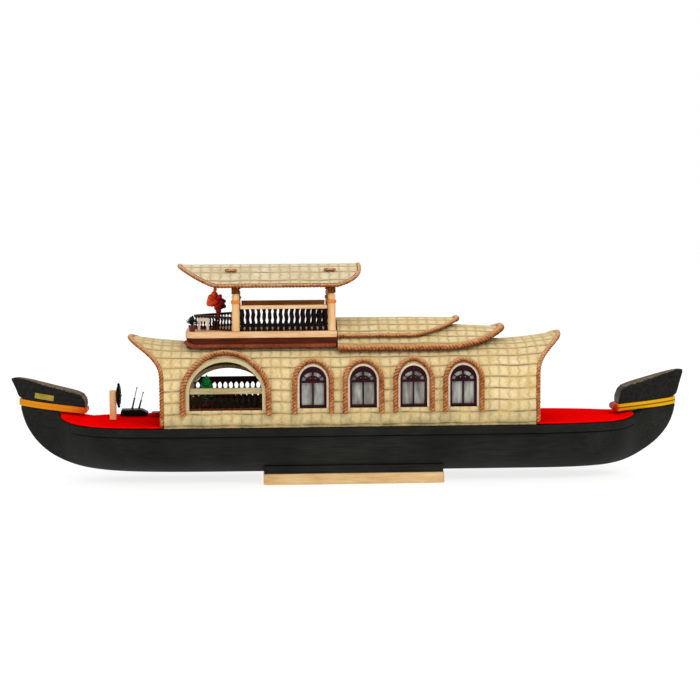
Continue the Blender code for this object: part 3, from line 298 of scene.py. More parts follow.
bump = add(tree, "Bump", {}, {"Height": marks.outputs[0], "Strength": 0.3, "Distance": 0.25 * MM})
wire(tree, shader, {
    "Base Color": coat.outputs[0], "Roughness": gloss.outputs[0], "Normal": bump.outputs[0],
})
nodes["cradle_block"].material_slots[0].material = black_enamel

# The hull: carved from one length of softwood, swept up at both ends and brushed black, with a
# raised strake glued along its top edge on each side. A thin near-black copy of each strake, just
# below it, is painted shadow in the corner under it.
SHADOW_LINE_DROP = 0.9
SHADOW_LINE_INSET = 0.3
SIDES = (("port", 1.0), ("starboard", -1.0))

# Near-black paint with no brush marks to catch the light, used as painted shadow under the strakes
shadow_line_black = planed_wood("painted_shadow_black", ("#040403", "#090908", "#10100e"), 0, 1.4, 0.6, 0.2, 0.02)
carved_hull = smooth_copy("hull", "carved_hull")
fit(carved_hull, black_enamel)
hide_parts("hull")
for side, sign in SIDES:
    # a thin near-black copy of the strake, just below it: painted shadow under the strake
    line = smooth_copy("wale_" + side, "painted_shadow_line_" + side)
    shift = Vector((0.0, -sign * SHADOW_LINE_INSET, -SHADOW_LINE_DROP))
    line.data.transform(Matrix.Translation(shift * MM))
    fit(line, shadow_line_black)
    strake = smooth_copy("wale_" + side, "strake_" + side)
    fit(strake, black_enamel)
    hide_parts("wale_" + side)

# The painted bands under the prow blocks: thin battens glued round each end, orange at the bow and
# gold at the stern, in brushed enamel that turns red where it meets the deck. A darker line runs
# along the middle of each.
BAND_BLOTCH = 7.14
BAND_WANDER = 6.0
BAND_LINE = (0.35, 0.9)


def band_enamel(name, sign, start, spread, codes, middle, slope, line):
    """Red at the band's inner end, orange or gold towards its tip, a dark line along its middle."""
    material, tree, shader = new_finish(name, {"IOR": 1.5, "Specular IOR Level": 0.06})
    place = add(tree, "TexCoord", {}, {})
    axes = add(tree, "SeparateXYZ", {}, {"Vector": place.outputs["Object"]})
    blotch = add(tree, "TexNoise", {}, {
        "Vector": place.outputs["Object"], "Scale": 1000.0 / BAND_BLOTCH, "Detail": 3.0,
    })
    wander = add(tree, "Math", {"operation": "MULTIPLY_ADD"}, {
        0: blotch.outputs[0], 1: BAND_WANDER * MM, 2: axes.outputs["X"],
    })
    reach = add(tree, "MapRange", {}, {
        "Value": wander.outputs[0], "From Min": sign * start * MM,
        "From Max": sign * (start + spread) * MM,
    })
    stops = tuple(zip((0.0, 0.12, 0.34, 1.0), codes))
    colour = add(tree, "ValToRGB", {"stops": stops}, {"Fac": reach.outputs[0]})
    level = add(tree, "Math", {"operation": "MULTIPLY_ADD"}, {
        0: axes.outputs["X"], 1: -sign * slope, 2: axes.outputs["Z"],
    })
    above = add(tree, "Math", {"operation": "SUBTRACT"}, {0: level.outputs[0], 1: middle * MM})
    away = add(tree, "Math", {"operation": "ABSOLUTE"}, {0: above.outputs[0]})
    dark = add(tree, "MapRange", {}, {
        "Value": away.outputs[0], "From Min": BAND_LINE[0] * MM, "From Max": BAND_LINE[1] * MM,
        "To Min": line, "To Max": 0.0,
    })
    final = add(tree, "Mix", {"data_type": "RGBA"}, {
        0: dark.outputs[0], 6: colour.outputs[0], 7: linear("#4a3c10"),
    })
    gloss = add(tree, "MapRange", {}, {
        "Value": blotch.outputs[0], "To Min": 0.3, "To Max": 0.5,
    })
    wire(tree, shader, {"Base Color": final.outputs[2], "Roughness": gloss.outputs[0]})
    return material


bow_enamel = band_enamel(
    "orange_band_enamel", 1.0, 236.0, 56.0, ("#b8240c", "#d04e0e", "#d87a14", "#da8a18"),
    34.2, 0.13, 0.2,
)
stern_enamel = band_enamel(
    "gold_band_enamel", -1.0, 241.0, 12.0, ("#c01408", "#cc200a", "#e09a12", "#dfa412"),
    36.1, 0.105, 0.85,
)
for end, enamel in (("bow", bow_enamel), ("stern", stern_enamel)):
    band = smooth_copy(end + "_band", end + "_painted_band")
    fit(band, enamel)
    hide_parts(end + "_band")

# The raised prow blocks: separate carved blocks, black like the hull. A taupe painted highlight lies
# along the rounded top and on the bow block's inner end, the faces that take the most light.
PROW_SPECK = 2.38

highlit_black_enamel, tree, shader = new_finish("black_enamel_painted_highlight", {
    "IOR": 1.5, "Specular IOR Level": 0.07,
})
place = add(tree, "TexCoord", {}, {})
facing = add(tree, "SeparateXYZ", {}, {"Vector": place.outputs["Normal"]})
speck = add(tree, "TexNoise", {}, {
    "Vector": place.outputs["Object"], "Scale": 1000.0 / PROW_SPECK, "Detail": 5.0,
})
# painted highlight: a taupe tone where the block faces up and on the bow block's inner end
highlight_tone = add(tree, "ValToRGB", {
    "stops": ((0.35, "#453a2e"), (0.5, "#6a5b4a"), (0.7, "#8c7d6a")),
}, {"Fac": speck.outputs[0]})
under = add(tree, "ValToRGB", {
    "stops": ((0.32, "#131210"), (0.7, "#232320")),
}, {"Fac": speck.outputs[0]})
lit_facing = add(tree, "Math", {"operation": "MULTIPLY_ADD"}, {
    0: speck.outputs[0], 1: 0.25, 2: facing.outputs["Z"],
})
top_highlight = add(tree, "MapRange", {}, {
    "Value": lit_facing.outputs[0], "From Min": 0.9, "From Max": 1.02,
})
along_boat = add(tree, "SeparateXYZ", {}, {"Vector": place.outputs["Object"]})
at_bow = add(tree, "MapRange", {}, {"Value": along_boat.outputs["X"], "From Max": 1.0 * MM})
inboard = add(tree, "MapRange", {}, {
    "Value": facing.outputs["X"], "From Min": -0.55, "From Max": -0.8,
})
end_highlight = add(tree, "Math", {"operation": "MULTIPLY"}, {0: at_bow.outputs[0], 1: inboard.outputs[0]})
painted_highlight = add(tree, "Math", {"operation": "MAXIMUM"}, {0: top_highlight.outputs[0], 1: end_highlight.outputs[0]})
shown = add(tree, "Mix", {"data_type": "RGBA"}, {
    0: painted_highlight.outputs[0], 6: under.outputs[0], 7: highlight_tone.outputs[0],
})
gloss = add(tree, "MapRange", {}, {"Value": painted_highlight.outputs[0], "To Min": 0.42, "To Max": 0.8})
bump = add(tree, "Bump", {}, {"Height": speck.outputs[0], "Strength": 0.25, "Distance": 0.2 * MM})
wire(tree, shader, {
    "Base Color": shown.outputs[2], "Roughness": gloss.outputs[0], "Normal": bump.outputs[0],
})
for end in ("bow", "stern"):
    raised_end = smooth_copy(end + "_prow", end + "_carved_block", crease=20.0)
    fit(raised_end, highlit_black_enamel)
    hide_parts(end + "_prow")

# The name plates: thin blank strips of stamped brass foil pinned to both sides of the bow block,
# raised round the edge and dulled with handling.
PLATE_MIDDLE = (274.5, 10.9, 78.1)
PLATE_SIZE = (17.6, 0.5, 4.9)
PLATE_SLANT = 9.0
PLATE_TURN = 8.6
PLATE_BORDER = 0.6
PLATE_SLOPE = 0.3
PLATE_SUNK = 0.2
TARNISH_SIZE = 9.09


def block(name, one, other, rounding=0.0):
    """A piece sawn square between two opposite corners in millimetres, its edges rounded."""
    bpy.ops.object.select_all(action="DESELECT")
    low, high = (Vector([pick(pair) for pair in zip(one, other)]) * MM for pick in (min, max))
    bpy.ops.mesh.primitive_cube_add(size=1.0, location=(low + high) / 2, scale=high - low)
    piece = bpy.context.object
    piece.name = name
    bpy.ops.object.transform_apply(location=True, rotation=True, scale=True)
    if rounding:
        ease_edges(piece, rounding)
        bpy.ops.object.shade_smooth_by_angle(angle=math.radians(35.0))
    return piece


def place_mesh(piece, middle, turn=Matrix()):
    """Turn a piece made at the origin and set it at its place, both in its mesh."""
    piece.data.transform(Matrix.Translation(Vector(middle) * MM) @ turn)


# Stamped brass foil: yellow metal under a thin dull tarnish, so that its shine is broken
brass, tree, shader = new_finish("dull_stamped_brass", {"Metallic": 0.75})
place = add(tree, "TexCoord", {}, {})
worn = add(tree, "TexNoise", {}, {
    "Vector": place.outputs["Object"], "Scale": 1000.0 / TARNISH_SIZE, "Detail": 5.0,
})
tarnish = add(tree, "ValToRGB", {
    "stops": ((0.3, "#8a7529"), (0.5, "#a18b35"), (0.7, "#bba346")),
}, {"Fac": worn.outputs[0]})
gloss = add(tree, "MapRange", {}, {"Value": worn.outputs[0], "To Min": 0.3, "To Max": 0.6})
wire(tree, shader, {"Base Color": tarnish.outputs[0], "Roughness": gloss.outputs[0]})
for side, sign in SIDES:
    half = Vector(PLATE_SIZE) / 2
    plate = block("name_plate_" + side, -half, half)
    bpy.ops.object.mode_set(mode="EDIT")
    bpy.ops.mesh.select_all(action="DESELECT")
    bpy.ops.object.mode_set(mode="OBJECT")
    for face in plate.data.polygons:
        face.select = face.normal.y * sign > 0.9
    bpy.ops.object.mode_set(mode="EDIT")
    bpy.ops.mesh.select_mode(type="FACE")
    bpy.ops.mesh.inset(thickness=PLATE_BORDER * MM, depth=0.0)
    bpy.ops.mesh.inset(thickness=PLATE_SLOPE * MM, depth=-PLATE_SUNK * MM)
    bpy.ops.object.mode_set(mode="OBJECT")
    ease_edges(plate, 0.12)
    turn = Matrix.Rotation(math.radians(-sign * PLATE_TURN), 4, "Z")
    turn = turn @ Matrix.Rotation(math.radians(-PLATE_SLANT), 4, "Y")
    place_mesh(plate, (PLATE_MIDDLE[0], sign * PLATE_MIDDLE[1], PLATE_MIDDLE[2]), turn)
    fit(plate, brass)

# The decks at both ends: thin boards bent up to the prows, under three coats of gloss enamel.
# Bright red, brushed along the boat. The photo shows no shine on them, so they have none here.
DECK_BRUSH = (11.11, 2.381, 2.381)

red_gloss, tree, shader = new_finish("red_gloss_enamel", {
    "IOR": 1.5, "Specular IOR Level": 0.0,
})
place = add(tree, "TexCoord", {}, {})
runs = add(tree, "Mapping", {}, {
    "Vector": place.outputs["Object"], "Scale": [1000.0 / size for size in DECK_BRUSH],
})
brushed = add(tree, "TexNoise", {}, {"Vector": runs.outputs[0], "Scale": 1.0, "Detail": 4.0})
colour = add(tree, "ValToRGB", {
    "stops": ((0.3, "#ea0403"), (0.5, "#fa0504"), (0.7, "#ff0b06")),
}, {"Fac": brushed.outputs[0]})
gloss = add(tree, "MapRange", {}, {"Value": brushed.outputs[0], "To Min": 0.4, "To Max": 0.6})
bump = add(tree, "Bump", {}, {"Height": brushed.outputs[0], "Strength": 0.2, "Distance": 0.2 * MM})
wire(tree, shader, {
    "Base Color": colour.outputs[0], "Roughness": gloss.outputs[0], "Normal": bump.outputs[0],
})
for end in ("foredeck", "aft_deck"):
    deck = smooth_copy(end, "painted_" + end)
    fit(deck, red_gloss)
    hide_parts(end)

# The cabin floor and its two bulkheads: thin stained boards, the floor dark red, the bulkheads
# dark brown, cut out for their doorways before the mat is bent over them. Both are coloured darker
# still as painted shade for the inside of the cabin.

# Planed boards in a thin oil stain, darkened further as painted shade: dull, the grain showing through
shaded_floor_board = planed_wood("red_board_painted_shade", ("#1c0805", "#331009", "#4a1810"), 0, 2.2, 0.5, 0.3, 0.1)
nodes["cabin_floor"].material_slots[0].material = shaded_floor_board
shaded_bulkhead_board = planed_wood("brown_board_painted_shade", ("#2b2013", "#41301c", "#5a442a"), 2, 2.4, 0.62, 0.3, 0.1)
for board in ("lounge_bulkhead", "aft_bulkhead"):
    nodes[board].material_slots[0].material = shaded_bulkhead_board

# The cabin: palm leaf matting stitched in padded squares over a bent frame, in two halves that
# meet at the ridge. Stitched rows run along the boat, and both ends sweep out into a horn. The sewn
# seams pull the straw down into hollows, and painted shade browns the straw towards them.
CABIN_HALF_WIDTH = 51.0
CABIN_BASE = 53.3
CABIN_SPRING = 94.0
CABIN_RIDGE = 126.0
CABIN_ROUNDNESS = 2.4
CABIN_END = 165.0
CABIN_STRAIGHT = 140.0
HORN_REACH = {1.0: 30.0, -1.0: 25.0}
HORN_POWER = 2.6
HORN_LIFT = 5.5
MAT_WALL = 2.0
CELL_LENGTH = 8.8
CELL_HEIGHT = 10.3
FIRST_ROW = 2.0
PUFF_DEPTH = 0.7
LEAF_STRIP = 1.1
SEAM_WIDTH = {"X": 0.36, "Y": 0.5}
SEAM_HOLLOW = 2.6
FRAY_SIZE = 1.613
PATCH_SIZE = 16.13
STAIN_TOP = 78.0
STAIN_FOOT = 54.0
ARCH_TABLE_STEPS = 120
WINDOW_X = (33.5, -11.1, -55.8, -100.1)
WINDOW_HALF = 12.0
WINDOW_SILL = 70.3
WINDOW_SPRING = 94.5
WINDOW_APEX = 107.0
ARCH_X = 110.6
ARCH_HALF = 32.4
ARCH_SILL = 68.8
ARCHES = {"port": (84.0, 111.6), "starboard": (75.8, 96.6)}
MAT_DIVISIONS = (270, 78)
WINDOW_PLAY = 0.3
CUT_FROM = 30.0
CUT_TO = 60.0


def matting(name, codes, stitch, row, stain):
    """Woven palm leaf: pale straw strips, sewn cells on the UV map, painted shade on its inner face.

    Its fraying is finer than the picture can show, so it is drawn coarser.
    """
    material, tree, shader = new_finish(name, {"IOR": 1.45, "Specular IOR Level": 0.2})
    cells = add(tree, "UVMap", {"uv_map": "stitching"}, {})
    axes = add(tree, "SeparateXYZ", {}, {"Vector": cells.outputs[0]})
    place = add(tree, "TexCoord", {}, {})
    fray = add(tree, "TexNoise", {}, {
        "Vector": place.outputs["Object"], "Scale": 1000.0 / FRAY_SIZE, "Detail": 3.0,
    })
    patch = add(tree, "TexNoise", {}, {
        "Vector": place.outputs["Object"], "Scale": 1000.0 / PATCH_SIZE, "Detail": 5.0,
        "Roughness": 0.65,
    })
    lines = []
    hollows = []
    for axis, size in (("X", CELL_LENGTH), ("Y", row)):
        share = add(tree, "Math", {"operation": "FRACT"}, {0: axes.outputs[axis]})
        middle = add(tree, "Math", {"operation": "SUBTRACT"}, {0: share.outputs[0], 1: 0.5})
        away = add(tree, "Math", {"operation": "ABSOLUTE"}, {0: middle.outputs[0]})
        edge = add(tree, "MapRange", {}, {
            "Value": away.outputs[0], "From Min": 0.5 - 1.9 * SEAM_WIDTH[axis] / size,
            "From Max": 0.5 - 0.6 * SEAM_WIDTH[axis] / size,
        })
        lines.append(edge.outputs[0])
        hollow = add(tree, "MapRange", {}, {
            "Value": away.outputs[0], "From Min": 0.5 - SEAM_HOLLOW / size, "From Max": 0.5,
        })
        hollows.append(hollow.outputs[0])
    upright = add(tree, "Math", {"operation": "MULTIPLY"}, {0: hollows[0], 1: 0.75})
    sunk = add(tree, "Math", {"operation": "MAXIMUM"}, {0: hollows[1], 1: upright.outputs[0]})
    strips = []
    for axis, size in (("X", CELL_LENGTH), ("Y", row)):
        fine = add(tree, "Math", {"operation": "MULTIPLY"}, {
            0: axes.outputs[axis], 1: size / LEAF_STRIP,
        })
        wave = add(tree, "Math", {"operation": "PINGPONG"}, {0: fine.outputs[0], 1: 0.5})
        strips.append((fine, wave))
    whole = [add(tree, "Math", {"operation": "FLOOR"}, {0: fine.outputs[0]}) for fine, _ in strips]
    total = add(tree, "Math", {"operation": "ADD"}, {0: whole[0].outputs[0], 1: whole[1].outputs[0]})
    over = add(tree, "Math", {"operation": "MODULO"}, {0: total.outputs[0], 1: 2.0})
    weave = add(tree, "Mix", {"data_type": "FLOAT"}, {
        0: over.outputs[0], 2: strips[0][1].outputs[0], 3: strips[1][1].outputs[0],
    })
    tone = add(tree, "Mix", {"data_type": "FLOAT"}, {0: 0.4, 2: patch.outputs[0], 3: fray.outputs[0]})
    stops = tuple(zip((0.3, 0.5, 0.68), codes))
    straw = add(tree, "ValToRGB", {"stops": stops}, {"Fac": tone.outputs[0]})
    shade = add(tree, "MapRange", {}, {"Value": weave.outputs[0], "From Max": 0.5, "To Min": 0.86})
    woven = add(tree, "Mix", {"data_type": "RGBA", "blend_type": "MULTIPLY"}, {
        0: 1.0, 6: straw.outputs[0], 7: shade.outputs[0],
    })
    height = add(tree, "SeparateXYZ", {}, {"Vector": place.outputs["Object"]})
    foot = add(tree, "MapRange", {}, {
        "Value": height.outputs["Z"], "From Min": STAIN_FOOT * MM, "From Max": STAIN_TOP * MM,
        "To Min": stain, "To Max": 0.0,
    })
    damp_and_shade = add(tree, "MapRange", {}, {"Value": patch.outputs[0], "From Min": 0.35, "From Max": 0.6})
    stain_and_shade = add(tree, "Math", {"operation": "MULTIPLY"}, {0: foot.outputs[0], 1: damp_and_shade.outputs[0]})
    aged = add(tree, "Mix", {"data_type": "RGBA"}, {
        0: stain_and_shade.outputs[0], 6: woven.outputs[2], 7: linear("#7f7a50"),
    })
    # painted shade: the straw browns towards the seams, where the cells dip
    seam_shade = add(tree, "Math", {"operation": "MULTIPLY"}, {0: sunk.outputs[0], 1: 0.42})
    shaded = add(tree, "Mix", {"data_type": "RGBA"}, {
        0: seam_shade.outputs[0], 6: aged.outputs[2], 7: linear("#a27a44"),
    })
    broken = add(tree, "MapRange", {}, {
        "Value": patch.outputs[0], "From Min": 0.36, "From Max": 0.58, "To Min": 0.15,
    })
    rows = add(tree, "Math", {"operation": "MULTIPLY"}, {0: lines[1], 1: broken.outputs[0]})
    columns = add(tree, "Math", {"operation": "MULTIPLY"}, {0: lines[0], 1: broken.outputs[0]})
    faint = add(tree, "Math", {"operation": "MULTIPLY"}, {0: columns.outputs[0], 1: 0.35})
    both = add(tree, "Math", {"operation": "MAXIMUM"}, {0: rows.outputs[0], 1: faint.outputs[0]})
    worn = add(tree, "Math", {"operation": "MULTIPLY"}, {0: both.outputs[0], 1: 0.7})
    sewn = add(tree, "Mix", {"data_type": "RGBA"}, {
        0: worn.outputs[0], 6: shaded.outputs[2], 7: linear(stitch),
    })
    centred = add(tree, "VectorMath", {"operation": "SUBTRACT"}, {
        0: place.outputs["Object"], 1: (0.0, 0.0, CABIN_SPRING * MM),
    })
    outward = add(tree, "VectorMath", {"operation": "MULTIPLY"}, {
        0: centred.outputs[0], 1: (0.0, 1.0, 1.0),
    })
    facing = add(tree, "VectorMath", {"operation": "DOT_PRODUCT"}, {
        0: place.outputs["Normal"], 1: outward.outputs[0],
    })
    # painted shade on the mat's inner faces, which face in towards the cabin's middle
    inner = add(tree, "MapRange", {}, {
        "Value": facing.outputs["Value"], "From Min": -4.0 * MM, "From Max": -12.0 * MM,
    })
    final = add(tree, "Mix", {"data_type": "RGBA"}, {
        0: inner.outputs[0], 6: sewn.outputs[2], 7: linear("#463c1c"),
    })
    bump = add(tree, "Bump", {}, {
        "Height": weave.outputs[0], "Strength": 0.5, "Distance": 0.25 * MM,
    })
    rough = add(tree, "MapRange", {}, {"Value": fray.outputs[0], "To Min": 0.6, "To Max": 0.85})
    wire(tree, shader, {
        "Base Color": final.outputs[2], "Roughness": rough.outputs[0], "Normal": bump.outputs[0],
    })
    return material


cabin_mat = matting(
    "stitched_palm_matting", ("#d4b374", "#efd89f", "#fdecc4"), "#5a451f", CELL_HEIGHT, 0.75
)


def puff(cell):
    """Share of full loft at a place in a stitched cell: none at its seams."""
    share = abs(2.0 * (cell - math.floor(cell)) - 1.0)
    return 1.0 - share ** 5


def lay_mat(name, columns, rows, surface, row_height):
    """Wrap a sheet over a surface: surface(u, v) gives a place, its outward way and its rows."""
    bpy.ops.object.select_all(action="DESELECT")
    bpy.ops.mesh.primitive_grid_add(x_subdivisions=columns, y_subdivisions=rows, size=1.0)
    sheet = bpy.context.object
    sheet.name = name
    cells = []
    for corner in sheet.data.vertices:
        place, outward, along, across = surface(corner.co.x + 0.5, corner.co.y + 0.5)
        drift = 0.05 * math.sin(0.31 * along + 0.9 * across) + 0.04 * math.sin(0.83 * across + 1.7)
        cell = (along / CELL_LENGTH + drift, across / row_height + 0.035 * math.sin(0.16 * along))
        loft = (0.35 + 0.65 * puff(cell[0])) * puff(cell[1])
        corner.co = (Vector(place) - Vector(outward) * PUFF_DEPTH * (1.0 - loft)) * MM
        cells.append(cell)
    layer = sheet.data.uv_layers[0]
    layer.name = "stitching"
    for loop in sheet.data.loops:
        layer.data[loop.index].uv = cells[loop.vertex_index]
    middle = sheet.data.polygons[len(sheet.data.polygons) // 2]
    outward = Vector((0.0, middle.center.y, middle.center.z - CABIN_SPRING * MM))
    if middle.normal.dot(outward) < 0.0:
        bpy.ops.object.mode_set(mode="EDIT")
        bpy.ops.mesh.select_all(action="SELECT")
        bpy.ops.mesh.flip_normals()
        bpy.ops.object.mode_set(mode="OBJECT")
    wall = sheet.modifiers.new("wall", "SOLIDIFY")
    wall.thickness = (MAT_WALL - PUFF_DEPTH) * MM
    wall.offset = -1.0
    bpy.ops.object.modifier_apply(modifier="wall")
    bpy.ops.object.shade_smooth_by_angle(angle=math.radians(50.0))
    return sheet


def cabin_point(angle, inset=0.0):
    """Half width and height on the cabin's arch: 0 at the spring, a right angle at the ridge."""
    power = 2.0 / CABIN_ROUNDNESS
    width = (CABIN_HALF_WIDTH - inset) * max(math.cos(angle), 0.0) ** power
    rise = CABIN_RIDGE - CABIN_SPRING - inset
    return width, CABIN_SPRING + rise * max(math.sin(angle), 0.0) ** power


def cabin_normal(angle):
    """Outward way across and up at an angle of the cabin's arch."""
    width, height = cabin_point(angle)
    rise = CABIN_RIDGE - CABIN_SPRING
    across = (width / CABIN_HALF_WIDTH) ** (CABIN_ROUNDNESS - 1) / CABIN_HALF_WIDTH
    upward = ((height - CABIN_SPRING) / rise) ** (CABIN_ROUNDNESS - 1) / rise
    length = math.hypot(across, upward)
    return across / length, upward / length


def horn(angle, end):
    """How far along the boat the mat's edge lies at an angle of the arch."""
    return CABIN_END + HORN_REACH[end] * math.sin(angle) ** HORN_POWER


def horn_lift(x, angle):
    """How much the mat sweeps up towards its horn."""
    end = 1.0 if x > 0 else -1.0
    beyond = max(abs(x) - CABIN_STRAIGHT, 0.0)
    full = CABIN_END + HORN_REACH[end] - CABIN_STRAIGHT
    return HORN_LIFT * (beyond / full) ** 1.6 * math.sin(angle)


girth = [(0.0, CABIN_HALF_WIDTH, CABIN_BASE, 0.0)]
girth.append((CABIN_SPRING - CABIN_BASE, CABIN_HALF_WIDTH, CABIN_SPRING, 0.0))
for step in range(1, ARCH_TABLE_STEPS + 1):
    angle = 0.5 * math.pi * step / ARCH_TABLE_STEPS
    width, height = cabin_point(angle)
    gone, last_width, last_height, _ = girth[-1]
    girth.append((gone + math.hypot(width - last_width, height - last_height), width, height, angle))


def round_cabin(distance):
    """Half width, height and arch angle at a distance up the mat from its foot."""
    for before, after in zip(girth, girth[1:]):
        if distance <= after[0] or after is girth[-1]:
            share = min((distance - before[0]) / (after[0] - before[0]), 1.0)
            return [a + (b - a) * share for a, b in zip(before[1:], after[1:])]


def cabin_surface(sign):
    """The mat's outer face on one side."""
    def surface(u, v):
        distance = girth[-1][0] * v
        width, height, angle = round_cabin(distance)
        x = (2.0 * u - 1.0) * CABIN_END
        end = 1.0 if x > 0 else -1.0
        if abs(x) > CABIN_STRAIGHT:
            beyond = (abs(x) - CABIN_STRAIGHT) / (CABIN_END - CABIN_STRAIGHT)
            x = end * (CABIN_STRAIGHT + (horn(angle, end) - CABIN_STRAIGHT) * beyond)
        across, upward = cabin_normal(angle)
        place = (x, sign * max(width, 0.15), height + horn_lift(x, angle))
        return place, (0.0, sign * across, upward), x, distance - FIRST_ROW
    return surface


def arched(centre, half, sill, spring, apex, steps=20):
    """A round-headed outline as x and z pairs, from its foot on the aft side."""
    points = [(centre - half, sill)]
    for step in range(steps + 1):
        angle = math.pi * (1.0 - step / steps)
        points.append((
            centre + half * math.cos(angle), spring + (apex - spring) * math.sin(angle)
        ))
    return points + [(centre + half, sill)]


def turn_outward(merge=0.0):
    """Merge the active piece's doubled corners, in millimetres, and turn its faces outwards."""
    bpy.ops.object.mode_set(mode="EDIT")
    bpy.ops.mesh.select_all(action="SELECT")
    if merge:
        bpy.ops.mesh.remove_doubles(threshold=merge * MM)
    bpy.ops.mesh.normals_make_consistent(inside=False)
    bpy.ops.object.mode_set(mode="OBJECT")


def skin(name, rings, closed=False):
    """A piece skinned over rings of points in millimetres, capped or closed round on itself."""
    count = len(rings[0])
    faces = []
    for ring in range(len(rings) if closed else len(rings) - 1):
        following = (ring + 1) % len(rings)
        for i in range(count):
            j = (i + 1) % count
            faces.append((
                ring * count + i, ring * count + j, following * count + j, following * count + i
            ))
    if not closed:
        faces.append(tuple(range(count)))
        faces.append(tuple((len(rings) - 1) * count + i for i in range(count)))
    data = bpy.data.meshes.new(name)
    data.from_pydata([Vector(p) * MM for ring in rings for p in ring], [], faces)
    piece = bpy.data.objects.new(name, data)
    bpy.context.scene.collection.objects.link(piece)
    choose(piece)
    turn_outward()
    bpy.ops.object.shade_smooth_by_angle(angle=math.radians(38.0))
    return piece


def cut_through(sheet, outlines, near, far):
    """Cut openings along Y through a sheet."""
    for number, outline in enumerate(outlines):
        rings = [[(x, y, z) for x, z in outline] for y in (near, far)]
        cutter = skin(f"cutter_{number}", rings)
        cut = sheet.modifiers.new("cut", "BOOLEAN")
        cut.operation = "DIFFERENCE"
        cut.solver = "EXACT"
        cut.object = cutter
        choose(sheet)
        bpy.ops.object.modifier_apply(modifier="cut")
        bpy.data.objects.remove(cutter, do_unlink=True)


for side, sign in SIDES:
    sheet = lay_mat("matting_" + side, *MAT_DIVISIONS, cabin_surface(sign), CELL_HEIGHT)
    spring, apex = ARCHES[side]
    openings = [arched(ARCH_X, ARCH_HALF, ARCH_SILL, spring, apex)]
    openings += [
        arched(
            x, WINDOW_HALF + WINDOW_PLAY, WINDOW_SILL - WINDOW_PLAY, WINDOW_SPRING,
            WINDOW_APEX + WINDOW_PLAY,
        )
        for x in WINDOW_X
    ]
    cut_through(sheet, openings, sign * CUT_FROM, sign * CUT_TO)
    fit(sheet, cabin_mat)
    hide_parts("cabin_shell_" + side)

# The cream binding round every opening: a strip of split cane, bent to the arch and pinned over the
# cut edge of the mat, so that it shows as a plain band inside the rope.
TRIM_PROUD = 0.7
TRIM_DEPTH = 4.0
TRIM_PLAY = 0.2
LINER_WIDTH = 2.1
LINER_DEPTH = 2.6
LINER_FOOT_Y = 48.3
ARCH_TRIM = 3.4
ARCH_TRIM_RISE = 3.2


def cabin_width_at(height):
    """Half width of the cabin at a height."""
    if height <= CABIN_SPRING:
        return CABIN_HALF_WIDTH
    share = min((height - CABIN_SPRING) / (CABIN_RIDGE - CABIN_SPRING), 1.0)
    return CABIN_HALF_WIDTH * (1.0 - share ** CABIN_ROUNDNESS) ** (1.0 / CABIN_ROUNDNESS)


def on_cabin(x, height, lift, sign):
    """A place a little outside the cabin's side, square to its surface."""
    width = cabin_width_at(height)
    slope = cabin_width_at(height + 0.5) - cabin_width_at(height - 0.5)
    length = math.hypot(1.0, slope)
    return (x, sign * (width + lift / length), height - lift * slope / length)


def bind(name, inner, outer, depth, sign):
    """A cane strip between two outlines of equal length, following the cabin's side."""
    rings = []
    for (x, z), (wide_x, wide_z) in zip(inner, outer):
        near = cabin_width_at(z) + TRIM_PROUD
        far = cabin_width_at(wide_z) + TRIM_PROUD
        back = min(LINER_FOOT_Y, near - depth)
        rings.append([
            (x, sign * back, z), (x, sign * near, z),
            (wide_x, sign * far, wide_z), (wide_x, sign * min(back, far - 1.0), wide_z),
        ])
    strip = skin(name, rings)
    ease_edges(strip, 0.35)
    return strip


# Split cane, bleached: pale and matt with fine upright fibres, whiter round the windows
cream_cane = planed_wood("pale_split_cane", ("#b19c70", "#cfbb8e", "#dfcfa6"), 2, 1.2, 0.55, 0.3, 0.1)
white_cane = planed_wood("whitened_cane", ("#c4a78c", "#e3cdb4", "#f2e4cf"), 2, 1.2, 0.55, 0.3, 0.1)
for side, sign in SIDES:
    spring, apex = ARCHES[side]
    inner = arched(ARCH_X, ARCH_HALF - TRIM_PLAY, ARCH_SILL, spring, apex - TRIM_PLAY, 40)
    outer = arched(ARCH_X, ARCH_HALF + ARCH_TRIM, ARCH_SILL, spring, apex + ARCH_TRIM_RISE, 40)
    strip = bind("arch_binding_" + side, inner, outer, TRIM_DEPTH, sign)
    fit(strip, cream_cane)
    for number, x in enumerate(WINDOW_X, 1):
        inner = arched(x, WINDOW_HALF, WINDOW_SILL, WINDOW_SPRING, WINDOW_APEX, 24)
        outer = arched(
            x, WINDOW_HALF + LINER_WIDTH, WINDOW_SILL, WINDOW_SPRING,
            WINDOW_APEX + LINER_WIDTH, 24,
        )
        liner = bind(f"window_binding_{side}_{number}", inner, outer, LINER_DEPTH, sign)
        fit(liner, white_cane)

# The windows: fretted frames of stained wood set back in the wall, each with a pierced board over
# its transom that leaves an arched band of light, and one sheet of frosted acetate behind them.
FAN_HALF = 10.2
FAN_RISE = 12.0
FAN_BAND = ((9.7, 7.8), (6.6, 4.6))
FAN_LIGHTS = ((0.06, 0.5), (0.62, 1.46))
FAN_DOT = (2.1, 2.4, 0.75)
FAN_FOOT = 93.2
FAN_FRONT = 46.4
FAN_THICKNESS = 0.6
FAN_LEDGE = 0.6
ACETATE_FOLD = (5.263, 16.67, 22.22)

# Softwood in a maroon stain and a thin varnish: almost black in the shade, wine red in the light
maroon = planed_wood("maroon_stained_wood", ("#17040a", "#2e0a14", "#45131f"), 2, 1.5, 0.35, 0.2, 0.1)


